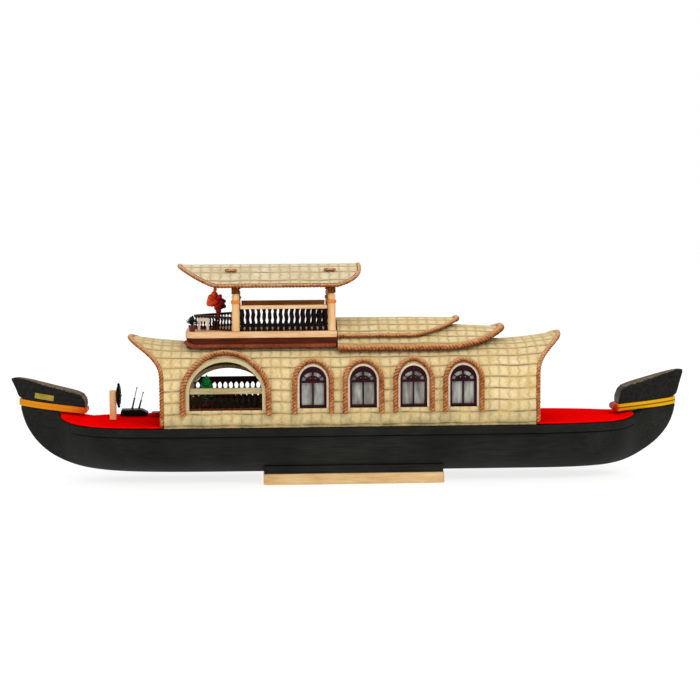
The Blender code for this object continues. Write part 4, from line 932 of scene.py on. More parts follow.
def fretwork(name, outlines, thickness):
    """A thin board cut to its outer line and pierced by the others, upright along X and Z."""
    curve = bpy.data.curves.new(name, "CURVE")
    curve.dimensions = "2D"
    curve.fill_mode = "BOTH"
    curve.extrude = 0.5 * thickness * MM
    for outline in outlines:
        spline = curve.splines.new("POLY")
        spline.points.add(len(outline) - 1)
        for point, (x, z) in zip(spline.points, outline):
            point.co = (x * MM, z * MM, 0.0, 1.0)
        spline.use_cyclic_u = True
    piece = bpy.data.objects.new(name, curve)
    bpy.context.scene.collection.objects.link(piece)
    choose(piece)
    bpy.ops.object.convert(target="MESH")
    piece = bpy.context.object
    turn_outward(0.005)
    piece.data.transform(Matrix.Rotation(0.5 * math.pi, 4, "X"))
    return piece


def fan_outlines():
    """The board over a window's transom, pierced by four lights in an arc and by two dots."""
    board = [
        (FAN_HALF * math.cos(turn), FAN_FOOT + FAN_RISE * math.sin(turn))
        for turn in (math.pi * k / 40 for k in range(41))
    ]
    foot = FAN_FOOT + FAN_LEDGE
    holes = []
    for sign in (-1.0, 1.0):
        for start, end in FAN_LIGHTS:
            turns = [start + (end - start) * k / 10 for k in range(11)]
            (wide, high), (narrow, low) = FAN_BAND
            hole = [(sign * wide * math.cos(t), foot + high * math.sin(t)) for t in turns]
            hole += [(sign * narrow * math.cos(t), foot + low * math.sin(t)) for t in reversed(turns)]
            holes.append(hole)
        across, up, radius = FAN_DOT
        holes.append([
            (sign * across + radius * math.cos(turn), foot + up + radius * math.sin(turn))
            for turn in (2.0 * math.pi * k / 10 for k in range(10))
        ])
    return [board] + holes


# Frosted sheet with folded cloth close behind it: grey, milky, in soft upright folds
acetate, tree, shader = new_finish("frosted_acetate", {"IOR": 1.47, "Specular IOR Level": 0.3})
place = add(tree, "TexCoord", {}, {})
folds = add(tree, "Mapping", {}, {
    "Vector": place.outputs["Object"], "Scale": [1000.0 / size for size in ACETATE_FOLD],
})
milk = add(tree, "TexNoise", {}, {"Vector": folds.outputs[0], "Scale": 1.0, "Detail": 3.0})
colour = add(tree, "ValToRGB", {
    "stops": ((0.32, "#6c6761"), (0.5, "#96948d"), (0.68, "#bec3bb")),
}, {"Fac": milk.outputs[0]})
gloss = add(tree, "MapRange", {}, {"Value": milk.outputs[0], "To Min": 0.2, "To Max": 0.4})
wire(tree, shader, {"Base Color": colour.outputs[0], "Roughness": gloss.outputs[0]})
for side, sign in SIDES:
    nodes["window_panes_" + side].material_slots[0].material = acetate
    for number, x in enumerate(WINDOW_X, 1):
        frame_name = f"window_{side}_{number}"
        sash = eased_copy(frame_name, "sash_" + frame_name, 0.3, 2)
        fit(sash, maroon)
        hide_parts(frame_name)
        fan = fretwork(f"fan_{side}_{number}", fan_outlines(), FAN_THICKNESS)
        place_mesh(fan, (x, sign * (FAN_FRONT - 0.5 * FAN_THICKNESS), 0.0))
        fit(fan, maroon)

# The ropes: coir laid in three strands, glued over every edge of matting and round every opening.
# Orange brown and hairy, with a painted highlight on top and painted shade beneath.
ROPE_STEP = 0.8
ROPE_TWIST = 9.0
ROPE_BITE = 0.1
STRAND_POINTS = 5
STRAND_WAIST = 0.74
COIR_HAIR = 1.0526
COIR_PATCH = 4.762
END_ROPE = 2.3
END_ROPE_OVERLAP = 0.5
END_ROPE_PEAK = ((0.5, 0.3, 5.0),)
HORN_STEPS = 60
MAT_MIDDLE = 0.5 * MAT_WALL
ARCH_ROPE = 2.7
ARCH_ROPE_ENDS = ((0.0, 0.15, 3.0), (1.0, 0.15, 3.0))
WINDOW_ROPE = 2.45
WINDOW_ROPE_ENDS = ((0.0, 0.12, 3.0), (1.0, 0.12, 3.0))
WINDOW_ROPE_HALF = 16.2
WINDOW_ROPE_FOOT = 66.0
WINDOW_ROPE_APEX = (110.8, 110.6, 111.6, 110.6)
ARCH_ROPE_OUT = 5.4
ARCH_ROPE_RISE = 5.6
ARCH_ROPE_FOOT = 64.6
DECK_LEVEL = 55.6

# Coir: matt, orange brown, lit on top. Its hairs, a fifth of a millimetre thick, are too fine to
# show at this size, so they are drawn about five times coarser
coir, tree, shader = new_finish("twisted_coir", {"IOR": 1.5, "Specular IOR Level": 0.05})
place = add(tree, "TexCoord", {}, {})
hair = add(tree, "TexNoise", {}, {
    "Vector": place.outputs["Object"], "Scale": 1000.0 / COIR_HAIR, "Detail": 3.0,
})
patch = add(tree, "TexNoise", {}, {
    "Vector": place.outputs["Object"], "Scale": 1000.0 / COIR_PATCH, "Detail": 4.0,
})
both = add(tree, "Mix", {"data_type": "FLOAT"}, {0: 0.55, 2: patch.outputs[0], 3: hair.outputs[0]})
colour = add(tree, "ValToRGB", {
    "stops": ((0.36, "#6c3518"), (0.46, "#a45c30"), (0.56, "#bd7a46"), (0.68, "#e0ae74")),
}, {"Fac": both.outputs[0]})
facing = add(tree, "SeparateXYZ", {}, {"Vector": place.outputs["Normal"]})
# painted highlight on the rope's upper faces
coir_top_light = add(tree, "MapRange", {}, {
    "Value": facing.outputs["Z"], "From Min": 0.2, "From Max": 0.85, "To Max": 0.65,
})
coir_lit = add(tree, "Mix", {"data_type": "RGBA"}, {
    0: coir_top_light.outputs[0], 6: colour.outputs[0], 7: linear("#f0c794"),
})
# painted shade on the rope's lower faces
damp_and_shade = add(tree, "MapRange", {}, {
    "Value": facing.outputs["Z"], "From Min": 0.1, "From Max": -0.7, "To Max": 0.8,
})
stain_and_shade = add(tree, "Mix", {"data_type": "RGBA"}, {
    0: damp_and_shade.outputs[0], 6: coir_lit.outputs[2], 7: linear("#5a220d"),
})
bump = add(tree, "Bump", {}, {"Height": hair.outputs[0], "Strength": 0.7, "Distance": 0.4 * MM})
rough = add(tree, "MapRange", {}, {"Value": hair.outputs[0], "To Min": 0.75, "To Max": 0.95})
wire(tree, shader, {
    "Base Color": stain_and_shade.outputs[2], "Roughness": rough.outputs[0], "Normal": bump.outputs[0],
})

section = bpy.data.curves.new("three_strands", "CURVE")
section.dimensions = "2D"
section.fill_mode = "NONE"
outline = section.splines.new("POLY")
outline.points.add(3 * STRAND_POINTS - 1)
for number, point in enumerate(outline.points):
    around = 2.0 * math.pi * number / (3 * STRAND_POINTS)
    reach = STRAND_WAIST + (1.0 - STRAND_WAIST) * abs(math.cos(1.5 * around))
    point.co = (reach * math.cos(around), reach * math.sin(around), 0.0, 1.0)
outline.use_cyclic_u = True
strands = bpy.data.objects.new("three_strands", section)
bpy.context.scene.collection.objects.link(strands)


def lay_rope(name, path, radius, seed, closed=False, twist=ROPE_TWIST, knobs=()):
    """Twisted rope along a path in millimetres; a knob is a share of its length, swell, reach."""
    chance = random.Random(seed)
    points = [Vector(p) for p in path]
    if closed:
        points.append(points[0])
    gone = [0.0]
    for before, after in zip(points, points[1:]):
        gone.append(gone[-1] + (after - before).length)
    steps = max(int(gone[-1] / ROPE_STEP), 6)
    laid = []
    index = 0
    for step in range(steps if closed else steps + 1):
        distance = gone[-1] * step / steps
        while index < len(gone) - 2 and gone[index + 1] < distance:
            index += 1
        span = max(gone[index + 1] - gone[index], 1e-6)
        laid.append(points[index].lerp(points[index + 1], (distance - gone[index]) / span))
    curve = bpy.data.curves.new(name, "CURVE")
    curve.dimensions = "3D"
    curve.bevel_mode = "OBJECT"
    curve.bevel_object = strands
    curve.use_fill_caps = not closed
    spline = curve.splines.new("POLY")
    spline.points.add(len(laid) - 1)
    turns = round(gone[-1] / twist)
    for step, (point, place) in enumerate(zip(spline.points, laid)):
        share = step / steps
        swell = 1.0 + sum(
            grow * math.exp(-((share - at) * gone[-1] / reach) ** 2) for at, grow, reach in knobs
        )
        stray = Vector([chance.uniform(-0.03, 0.03) * radius for _ in range(3)])
        point.co = (*((place + stray) * MM), 1.0)
        point.radius = radius * MM * swell * chance.uniform(0.96, 1.04)
        point.tilt = 2.0 * math.pi * turns * share
    spline.use_cyclic_u = closed
    piece = bpy.data.objects.new(name, curve)
    bpy.context.scene.collection.objects.link(piece)
    choose(piece)
    bpy.ops.object.convert(target="MESH")
    piece = bpy.context.object
    turn_outward(0.002)
    bpy.ops.object.shade_smooth_by_angle(angle=math.radians(60.0))
    return piece


def beside_edge(path, normals, offset):
    """Places beside a mat's edge: square to it, along the surface that ends there."""
    placed = []
    for index, place in enumerate(path):
        before = Vector(path[max(index - 1, 0)])
        after = Vector(path[min(index + 1, len(path) - 1)])
        outward = (after - before).normalized().cross(Vector(normals[index])).normalized()
        placed.append(Vector(place) + offset * outward)
    return placed


for end, sign in (("fore", 1.0), ("aft", -1.0)):
    foot_y = CABIN_HALF_WIDTH - MAT_MIDDLE
    side_path = [(sign * CABIN_END, foot_y, DECK_LEVEL)]
    side_path.append((sign * CABIN_END, foot_y, 0.5 * (DECK_LEVEL + CABIN_SPRING)))
    normals = [(0.0, 1.0, 0.0)] * 2
    for step in range(HORN_STEPS + 1):
        angle = 0.5 * math.pi * step / HORN_STEPS
        width, height = cabin_point(angle, MAT_MIDDLE)
        x = sign * horn(angle, sign)
        side_path.append((x, width, height + horn_lift(x, angle)))
        normals.append((0.0, *cabin_normal(angle)))
    side_path[-1] = (side_path[-1][0], 0.0, side_path[-1][2])
    path = side_path + [(x, -y, z) for x, y, z in reversed(side_path[:-1])]
    normals += [(0.0, -across, upward) for _, across, upward in reversed(normals[:-1])]
    laid = beside_edge(path, normals, -sign * (END_ROPE - END_ROPE_OVERLAP))
    rope = lay_rope("horn_rope_" + end, laid, END_ROPE, seed=7, knobs=END_ROPE_PEAK)
    fit(rope, coir)
    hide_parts("cabin_rope_" + end)
for side, sign in SIDES:
    spring, apex = ARCHES[side]
    line = arched(
        ARCH_X, ARCH_HALF + ARCH_ROPE_OUT, ARCH_ROPE_FOOT, spring, apex + ARCH_ROPE_RISE, 60
    )
    path = [on_cabin(x, z, ARCH_ROPE - ROPE_BITE, sign) for x, z in line]
    rope = lay_rope("lounge_rope_" + side, path, ARCH_ROPE, seed=11, knobs=ARCH_ROPE_ENDS)
    fit(rope, coir)
    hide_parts("arch_rope_" + side)
    for number, x in enumerate(WINDOW_X, 1):
        apex = WINDOW_ROPE_APEX[number - 1]
        line = arched(x, WINDOW_ROPE_HALF, WINDOW_ROPE_FOOT, WINDOW_SPRING, apex, 48)
        path = [on_cabin(along, z, WINDOW_ROPE - ROPE_BITE, sign) for along, z in line]
        rope = lay_rope(
            f"window_rope_{side}_{number}", path, WINDOW_ROPE, seed=20 + number,
            knobs=WINDOW_ROPE_ENDS,
        )
        fit(rope, coir)

# The balustrades in the lounge arches: turned black balusters between a dark rail and a red brown
# sill, all glued up first. A strip of dull cane is pinned on the rail's outer face.
RAIL_TOP = 88.6
RAIL_LOW = 83.4
RAIL_BAR_Y = (46.4, 48.0)
RAIL_FACE_Y = (48.1, 49.3)
SILL_LOW = 69.1
SILL_TOP = 70.5
SILL_Y = (46.2, 49.2)
BALUSTER_Y = 47.6
BALUSTER_RADIUS = 1.75
BALUSTERS = 12
RAIL_PLAY = 0.4
END_GAP = 1.6
BALUSTER_ROWS = (
    (0.0, 1.0), (0.07, 1.0), (0.11, 0.55), (0.24, 0.42), (0.36, 0.7), (0.44, 1.0), (0.52, 1.0),
    (0.6, 0.7), (0.74, 0.42), (0.88, 0.55), (0.93, 1.0), (1.0, 1.0),
)
BALUSTER_SIDES = 10


def turned(name, rows, sides):
    """A piece shaped on the lathe about Z: rows of height and radius from the foot up."""
    bpy.ops.object.select_all(action="DESELECT")
    height, radius = rows[0]
    bpy.ops.mesh.primitive_circle_add(
        vertices=sides, radius=radius * MM, fill_type="NGON", location=(0.0, 0.0, height * MM)
    )
    piece = bpy.context.object
    piece.name = name
    bpy.ops.object.transform_apply(location=True, rotation=True, scale=True)
    bpy.ops.object.mode_set(mode="EDIT")
    bpy.ops.mesh.select_all(action="SELECT")
    for next_height, next_radius in rows[1:]:
        bpy.ops.mesh.extrude_region_move(
            TRANSFORM_OT_translate={"value": (0.0, 0.0, (next_height - height) * MM)}
        )
        grow = next_radius / radius
        bpy.ops.transform.resize(value=(grow, grow, 1.0), center_override=(0.0, 0.0, 0.0))
        height, radius = next_height, next_radius
    turn_outward()
    bpy.ops.object.shade_smooth_by_angle(angle=math.radians(48.0))
    return piece


def join(name, pieces):
    """Several pieces made one, the first of them taking in the others."""
    choose(*pieces)
    bpy.ops.object.join()
    pieces[0].name = name
    return pieces[0]


def row_of(first, name, places):
    """Copies of a piece set at each place and joined into one; the first one is used up."""
    made = []
    for place in places:
        copy = first.copy()
        copy.data = first.data.copy()
        copy.data.transform(Matrix.Translation(Vector(place) * MM))
        bpy.context.scene.collection.objects.link(copy)
        made.append(copy)
    bpy.data.objects.remove(first, do_unlink=True)
    return join(name, made)


def baluster(foot, head, radius, slim=1.0):
    """One baluster between two heights; slim is how far its necks are turned down."""
    rows = [
        (foot + (head - foot) * share, radius * (1.0 - slim * (1.0 - out)))
        for share, out in BALUSTER_ROWS
    ]
    return turned("baluster", rows, BALUSTER_SIDES)


def arch_reach(side, height):
    """Half width of a side's lounge arch at a height, less a little play."""
    spring, apex = ARCHES[side]
    share = max((height - spring) / (apex - spring), 0.0)
    return (ARCH_HALF - RAIL_PLAY) * math.sqrt(1.0 - share * share)


# Lacquer and stains over turned and planed softwood: the darker the coat, the less of the grain
# shows, and the cane on the rail is a duller, darker cream
gloss_black = planed_wood(
    "black_lacquered_wood", ("#0a0504", "#140a08", "#22120e"), 2, 1.2, 0.3, 0.15, 0.05
)
dark_rail = planed_wood("dark_stained_rail", ("#160a06", "#2a130c", "#3d1d12"), 0, 1.5, 0.4, 0.2, 0.12)
sill_brown = planed_wood("red_brown_sill", ("#3a1006", "#5e1d0b", "#7c2c12"), 0, 1.6, 0.4, 0.25, 0.08)
dull_cane = planed_wood("dull_split_cane", ("#8f8158", "#ab9c70", "#c2b387"), 0, 1.2, 0.6, 0.3, 0.1)
for side, sign in SIDES:
    low_reach = arch_reach(side, RAIL_LOW)
    top_reach = arch_reach(side, RAIL_TOP)
    shape = [
        (ARCH_X - low_reach, RAIL_LOW), (ARCH_X + low_reach, RAIL_LOW),
        (ARCH_X + top_reach, RAIL_TOP), (ARCH_X - top_reach, RAIL_TOP),
    ]
    rail, face = (
        skin(name + side, [[(x, sign * y, z) for x, z in shape] for y in depths])
        for name, depths in (("lounge_rail_bar_", RAIL_BAR_Y), ("lounge_rail_face_", RAIL_FACE_Y))
    )
    fit(rail, dark_rail)
    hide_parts("lounge_rail_" + side)
    fit(face, dull_cane)
    low = block(
        "lounge_sill_" + side, (ARCH_X - ARCH_HALF + RAIL_PLAY, sign * SILL_Y[0], SILL_LOW),
        (ARCH_X + ARCH_HALF - RAIL_PLAY, sign * SILL_Y[1], SILL_TOP), 0.3,
    )
    fit(low, sill_brown)
    first = baluster(SILL_TOP, RAIL_LOW, BALUSTER_RADIUS)
    pitch = 2.0 * (ARCH_HALF - END_GAP) / BALUSTERS
    places = [
        (ARCH_X - ARCH_HALF + END_GAP + pitch * number, sign * BALUSTER_Y, 0.0)
        for number in range(BALUSTERS + 1)
    ]
    balusters = row_of(first, "lounge_balusters_" + side, places)
    fit(balusters, gloss_black)

# The upper deck: a pale plank glued on a dark fascia that is scribed to the matted roof, with a
# thin twisted cord hiding the joint between them.
FASCIA_CORD = 2.0
FASCIA_CORD_AFT = 12.4
FASCIA_CORD_BEND = 138.0
FASCIA_CORD_Y = 36.6
FASCIA_CORD_Z = 124.6
CORD_BEND_RADIUS = 8.0
CORD_CLIMB = 2.5

# Varnished and stained pine: the deck honey coloured with a soft shine, the fascia red brown and
# dull, the rails worn through to the wood, the cord a matt red brown
honey = planed_wood("honey_varnished_wood", ("#c8945a", "#e4b888", "#efd1ac"), 0, 1.7, 0.4, 0.25, 0.15)
deck = eased_copy("upper_deck", "balcony_deck", 0.5)
fit(deck, honey)
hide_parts("upper_deck")
red_brown = planed_wood("red_brown_stain", ("#2a0e05", "#4c1a07", "#66260c"), 0, 1.6, 0.4, 0.25, 0.08)
worn_brown = planed_wood("worn_brown_stain", ("#7a4420", "#a5642f", "#c88546"), 0, 1.6, 0.45, 0.25, 0.1)
nodes["upper_fascia"].material_slots[0].material = red_brown
cord_colour = planed_wood("red_brown_cord", ("#5c2414", "#86402a", "#a86146"), 2, 0.9, 0.8, 0.5, 0.05)
path = [(x, FASCIA_CORD_Y, FASCIA_CORD_Z) for x in (FASCIA_CORD_AFT, FASCIA_CORD_BEND)]
for turn in (0.15 * k for k in range(1, 10)):
    path.append((
        FASCIA_CORD_BEND + CORD_BEND_RADIUS * math.sin(turn),
        FASCIA_CORD_Y - CORD_BEND_RADIUS * (1.0 - math.cos(turn)),
        FASCIA_CORD_Z + CORD_CLIMB * turn,
    ))
for side, sign in SIDES:
    laid = [(x, sign * y, z) for x, y, z in path]
    cord = lay_rope("fascia_cord_" + side, laid, FASCIA_CORD, seed=31, twist=6.0)
    fit(cord, cord_colour)

# The four posts: turned from pale wood with a ring under the neck, each neck lashed to the canopy
# with dark cord.
POST_ROWS = (
    (137.7, 3.6), (140.0, 3.6), (141.0, 3.4), (150.0, 3.5), (160.6, 3.4), (161.6, 3.2),
    (162.3, 3.8), (164.4, 3.8), (165.2, 3.0), (166.6, 3.4), (169.2, 3.3), (170.4, 2.4),
    (181.4, 2.3),
)
RING_ROWS = ((162.0, 3.7), (162.6, 4.05), (164.5, 4.05), (165.0, 3.7))
POST_X = (("fore", 101.2), ("aft", 15.8))
POST_Y = 33.0
LASHING_LOW = 171.2
LASHING_TURNS = 6
LASHING_RISE = 1.35
LASHING_RADIUS = 3.0
LASHING_CORD = 0.75
LASHING_STEPS = 16

# Turned pine under the same varnish, its ring rubbed with orange stain, and dark hemp cord
post_wood = planed_wood("turned_honey_wood", ("#cd9656", "#eabd86", "#f4d3aa"), 2, 1.7, 0.4, 0.25, 0.15)
ring_wood = planed_wood("orange_stained_ring", ("#c06a22", "#de8836", "#f0a455"), 2, 1.7, 0.45, 0.2, 0.1)
dark_cord = planed_wood("dark_lashing_cord", ("#4e2410", "#7d451d", "#aa6e36"), 2, 0.9, 0.8, 0.5, 0.05)
for end, x in POST_X:
    for side, sign in SIDES:
        post = turned(f"turned_post_{end}_{side}", POST_ROWS, 28)
        place_mesh(post, (x, sign * POST_Y, 0.0))
        fit(post, post_wood)
        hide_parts(f"upper_post_{end}_{side}")
        ring = turned(f"post_ring_{end}_{side}", RING_ROWS, 28)
        place_mesh(ring, (x, sign * POST_Y, 0.0))
        fit(ring, ring_wood)
        path = []
        for step in range(LASHING_TURNS * LASHING_STEPS + 1):
            turn = 2.0 * math.pi * step / LASHING_STEPS
            path.append((
                x + LASHING_RADIUS * math.cos(turn), sign * POST_Y + LASHING_RADIUS * math.sin(turn),
                LASHING_LOW + LASHING_RISE * turn / (2.0 * math.pi),
            ))
        lashing = lay_rope(f"lashing_{end}_{side}", path, LASHING_CORD, seed=41, twist=4.0)
        fit(lashing, dark_cord)

# The balustrades between the posts: black turned balusters on a thin lower rail, under a flat worn
# brown rail whose outer face is pale varnished wood. Short feet carry the lower rail to port.
UPPER_RAIL_LOW = {"port": 157.1, "starboard": 155.7}
UPPER_RAIL_TOP = 160.7
LOW_RAIL = {"port": (141.3, 143.1), "starboard": (137.9, 139.2)}
FOOT_ROWS = ((137.7, 2.3), (139.0, 2.2), (139.7, 1.5), (141.2, 1.9))
UPPER_BALUSTERS = 15
UPPER_BALUSTER_RADIUS = 1.85
UPPER_BALUSTER_SLIM = 0.6
UPPER_BALUSTER_Y = 33.0
RAIL_SPAN = (20.0, 97.0)
RAIL_DEPTHS = (31.6, 33.2, 34.5)
LOW_RAIL_Y = (31.9, 34.1)
FACE_DROP = 0.1
RAIL_END = 1.0
for side, sign in SIDES:
    inner, middle, outer = (sign * depth for depth in RAIL_DEPTHS)
    low_foot, low_top = LOW_RAIL[side]
    rail_low = UPPER_RAIL_LOW[side]
    rail = block(
        "upper_rail_bar_" + side, (RAIL_SPAN[0], inner, rail_low),
        (RAIL_SPAN[1], middle, UPPER_RAIL_TOP), 0.3,
    )
    fit(rail, worn_brown)
    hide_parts("upper_rail_" + side)
    face = block(
        "upper_rail_face_" + side, (RAIL_SPAN[0], middle, rail_low + FACE_DROP),
        (RAIL_SPAN[1], outer, UPPER_RAIL_TOP - FACE_DROP), 0.3,
    )
    fit(face, honey)
    low = block(
        "upper_low_rail_" + side, (RAIL_SPAN[0], sign * LOW_RAIL_Y[0], low_foot),
        (RAIL_SPAN[1], sign * LOW_RAIL_Y[1], low_top), 0.25,
    )
    fit(low, gloss_black)
    pitch = (RAIL_SPAN[1] - RAIL_SPAN[0] - 2.0 * RAIL_END) / UPPER_BALUSTERS
    places = [
        (RAIL_SPAN[0] + RAIL_END + pitch * number, sign * UPPER_BALUSTER_Y, 0.0)
        for number in range(UPPER_BALUSTERS + 1)
    ]
    first = baluster(low_top, rail_low, UPPER_BALUSTER_RADIUS, UPPER_BALUSTER_SLIM)
    balusters = row_of(first, "upper_balusters_" + side, places)
    fit(balusters, gloss_black)
    if low_foot > FOOT_ROWS[-1][0]:
        feet = row_of(turned("foot", FOOT_ROWS, 8), "baluster_feet_" + side, places)
        fit(feet, gloss_black)

# The balcony rail: a thin dark rail that runs in from the fore posts to a point, on small turned
# balusters set in a sill. The cream stool behind it is joined from four slats.
BALCONY_PLAN = (
    (105.4, 31.8), (112.0, 26.4), (119.0, 19.8), (126.0, 13.0),
    (132.0, 7.4), (136.4, 3.2), (138.6, 0.0),
)
BALCONY_CAP = (148.4, 150.4, 1.2)
BALCONY_SILL = (137.7, 139.0, 1.1)
BALCONY_PITCH = 3.6
BALCONY_START = 0.6
BALCONY_BALUSTER = 1.0

port_line = [Vector((x, y)) for x, y in BALCONY_PLAN]
whole_line = port_line + [Vector((p.x, -p.y)) for p in reversed(port_line[:-1])]


def rail_along(name, line, low, high, half):
    """A flat rail swept along a plan, between two heights."""
    rings = []
    for index, place in enumerate(line):
        along = line[min(index + 1, len(line) - 1)] - line[max(index - 1, 0)]
        across = Vector((-along.y, along.x)).normalized() * half
        rings.append([
            (*(place + across), low), (*(place + across), high),
            (*(place - across), high), (*(place - across), low),
        ])
    piece = skin(name, rings)
    ease_edges(piece, 0.25)
    return piece


cap = rail_along("balcony_rail_cap", whole_line, *BALCONY_CAP)
fit(cap, dark_rail)
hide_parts("balcony_rail")
sill = rail_along("balcony_rail_sill", whole_line, *BALCONY_SILL)
fit(sill, red_brown)
places = []
along = BALCONY_START
for before, after in zip(whole_line, whole_line[1:]):
    span = (after - before).length
    while along < span:
        places.append((*before.lerp(after, along / span), 0.0))
        along += BALCONY_PITCH
    along -= span
first = baluster(BALCONY_SILL[1], BALCONY_CAP[0], BALCONY_BALUSTER)
small = row_of(first, "balcony_balusters", places)
fit(small, gloss_black)
stool = eased_copy("balcony_stool", "slatted_stool", 0.3)
fit(stool, white_cane)
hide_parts("balcony_stool")

# The canopy and the two tiers of roof behind it: matting bent in a shallow arc over hidden ribs,
# stitched in rows along the boat, every edge bound with rope that ends in a thick tip.
CANOPY = {
    "half_width": 39.8, "eave": 180.2, "ridge": 195.8, "tip_drop": 0.0, "row": 12.5, "first": 2.0,
    "fore": 118.0, "fore_reach": 32.0, "fore_bow": 1.0, "fore_power": 0.8,
    "aft": 11.0, "aft_reach": 18.7, "aft_bow": 3.0, "aft_power": 1.0,
}
LOWER_TIER = {
    "half_width": 39.7, "eave": 125.3, "ridge": 140.4, "tip_drop": 3.0, "row": 10.3, "first": 1.0,
    "fore": 10.6, "fore_reach": 0.0, "fore_bow": 1.0, "fore_power": 1.0,
    "aft": -86.0, "aft_reach": 50.0, "aft_bow": 1.0, "aft_power": 0.55,
}
UPPER_TIER = {
    "half_width": 34.6, "eave": 134.8, "ridge": 146.6, "tip_drop": 0.8, "row": 10.3, "first": 3.0,
    "fore": 10.6, "fore_reach": 0.0, "fore_bow": 1.0, "fore_power": 1.0,
    "aft": -55.0, "aft_reach": 42.0, "aft_bow": 1.0, "aft_power": 0.68,
}
DROOP_START = 0.4
ROOF_EDGE_STEPS = 50
ROOF_ROPE_GAP = 0.2
TIP_REACH = 7.0
EAVE_END = ((0.0, 0.2, 4.0), (1.0, 0.2, 4.0))


def roof_arc(roof):
    """Radius of a roof's arc and the angle from its ridge to its eave."""
    rise = roof["ridge"] - roof["eave"]
    half = roof["half_width"]
    return 0.5 * (half * half + rise * rise) / rise, 2.0 * math.atan2(rise, half)


def roof_point(roof, angle, along, inset=0.0):
    """Place on a roof at an angle from its ridge and a share of its length from aft."""
    radius, eave_angle = roof_arc(roof)
    floor_share = math.cos(eave_angle)
    share = min(max((math.cos(angle) - floor_share) / (1.0 - floor_share), 0.0), 1.0)
    ends = []
    for end, way in (("aft", -1.0), ("fore", 1.0)):
        swept = (1.0 - (1.0 - share) ** roof[end + "_bow"]) ** roof[end + "_power"]
        ends.append(roof[end] + way * roof[end + "_reach"] * swept)
    droop = roof["tip_drop"] * max(1.0 - along / DROOP_START, 0.0) * share
    height = roof["ridge"] - radius + (radius - inset) * math.cos(angle) - droop
    return ends[0] + (ends[1] - ends[0]) * along, (radius - inset) * math.sin(angle), height


def roof_surface(roof):
    """The outer face of a roof."""
    radius, eave_angle = roof_arc(roof)

    def surface(u, v):
        angle = eave_angle * (1.0 - 2.0 * v)
        x, y, z = roof_point(roof, angle, u)
        return (x, y, z), (0.0, math.sin(angle), math.cos(angle)), x, radius * angle - roof["first"]
    return surface


def edge_rope(roof, radius, whole):
    """Path of the rope beside a roof's eaves and its aft edge, or all round it."""
    eave_angle = roof_arc(roof)[1]
    eave = [(eave_angle, 1.0 - k / ROOF_EDGE_STEPS) for k in range(ROOF_EDGE_STEPS)]
    over = [
        (eave_angle * (1.0 - k / ROOF_EDGE_STEPS), 0.0) for k in range(2 * ROOF_EDGE_STEPS + 1)
    ]
    way = eave + over + [(-angle, share) for angle, share in reversed(eave)]
    if whole:
        way += [(angle, 1.0) for angle, _ in reversed(over[1:-1])]
    path = [roof_point(roof, angle, share, MAT_MIDDLE) for angle, share in way]
    normals = [(0.0, math.sin(angle), math.cos(angle)) for angle, _ in way]
    offset = radius + ROOF_ROPE_GAP
    if whole:
        path = [path[-1]] + path + [path[0]]
        normals = [normals[-1]] + normals + [normals[0]]
        return beside_edge(path, normals, offset)[1:-1]
    return beside_edge(path, normals, offset)


# The same leaf, bleached a little paler and never wet at its foot
canopy_mat = matting(
    "pale_canopy_matting", ("#d0bd90", "#ecdbb4", "#fbeed2"), "#5c4c26", CANOPY["row"], 0.0
)
for name, roof, material, slot, columns, rows, radius, tip in (
    ("canopy", CANOPY, canopy_mat, "canopy_mat", 130, 66, 1.8, 0.0),
    ("lower_tier", LOWER_TIER, cabin_mat, "bamboo_mat", 112, 66, 3.1, 0.28),
    ("upper_tier", UPPER_TIER, cabin_mat, "bamboo_mat", 84, 56, 1.8, 0.7),
):
    sheet = lay_mat(name + "_matting", columns, rows, roof_surface(roof), roof["row"])
    fit(sheet, material)
    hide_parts(name)
    whole = name == "canopy"
    knobs = () if whole else ((0.5, tip, TIP_REACH), *EAVE_END)
    path = edge_rope(roof, radius, whole)
    rope = lay_rope(name + "_edge_rope", path, radius, seed=51, closed=whole, knobs=knobs)
    fit(rope, coir)
    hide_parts(name + "_rope")

# The ties of the canopy: short ends of coir pushed through the mat over each post and tied in a
# small bow on top, so that they hold the matting down on the post's lashing.
TIE_X = (("fore", 105.0), ("aft", 17.0))
TIE_ARC = 25.5
TIE_ROPE = 1.0
TIE_HALF_LENGTH = 4.6
TIE_HALF_WIDTH = 1.5
TIE_LIFT = (0.9, 0.7)
TIE_STEPS = 48

angle = TIE_ARC / roof_arc(CANOPY)[0]
_, y, z = roof_point(CANOPY, angle, 0.5)
for end, x in TIE_X:
    for side, sign in SIDES:
        path = []
        for step in range(TIE_STEPS + 1):
            turn = 2.0 * math.pi * step / TIE_STEPS
            waist = 1.0 if abs(math.cos(turn)) > 0.1 else 0.6
            out = TIE_HALF_LENGTH * math.cos(turn) * waist
            down = TIE_HALF_WIDTH * math.sin(2.0 * turn)
            lift = TIE_LIFT[0] + TIE_LIFT[1] * math.cos(turn) ** 2
            path.append((
                x + out, sign * (y + down * math.cos(angle) + lift * math.sin(angle)),
                z - down * math.sin(angle) + lift * math.cos(angle),
            ))
        bow = lay_rope(f"canopy_tie_{end}_{side}", path, TIE_ROPE, seed=61, twist=5.0)
        fit(bow, coir)

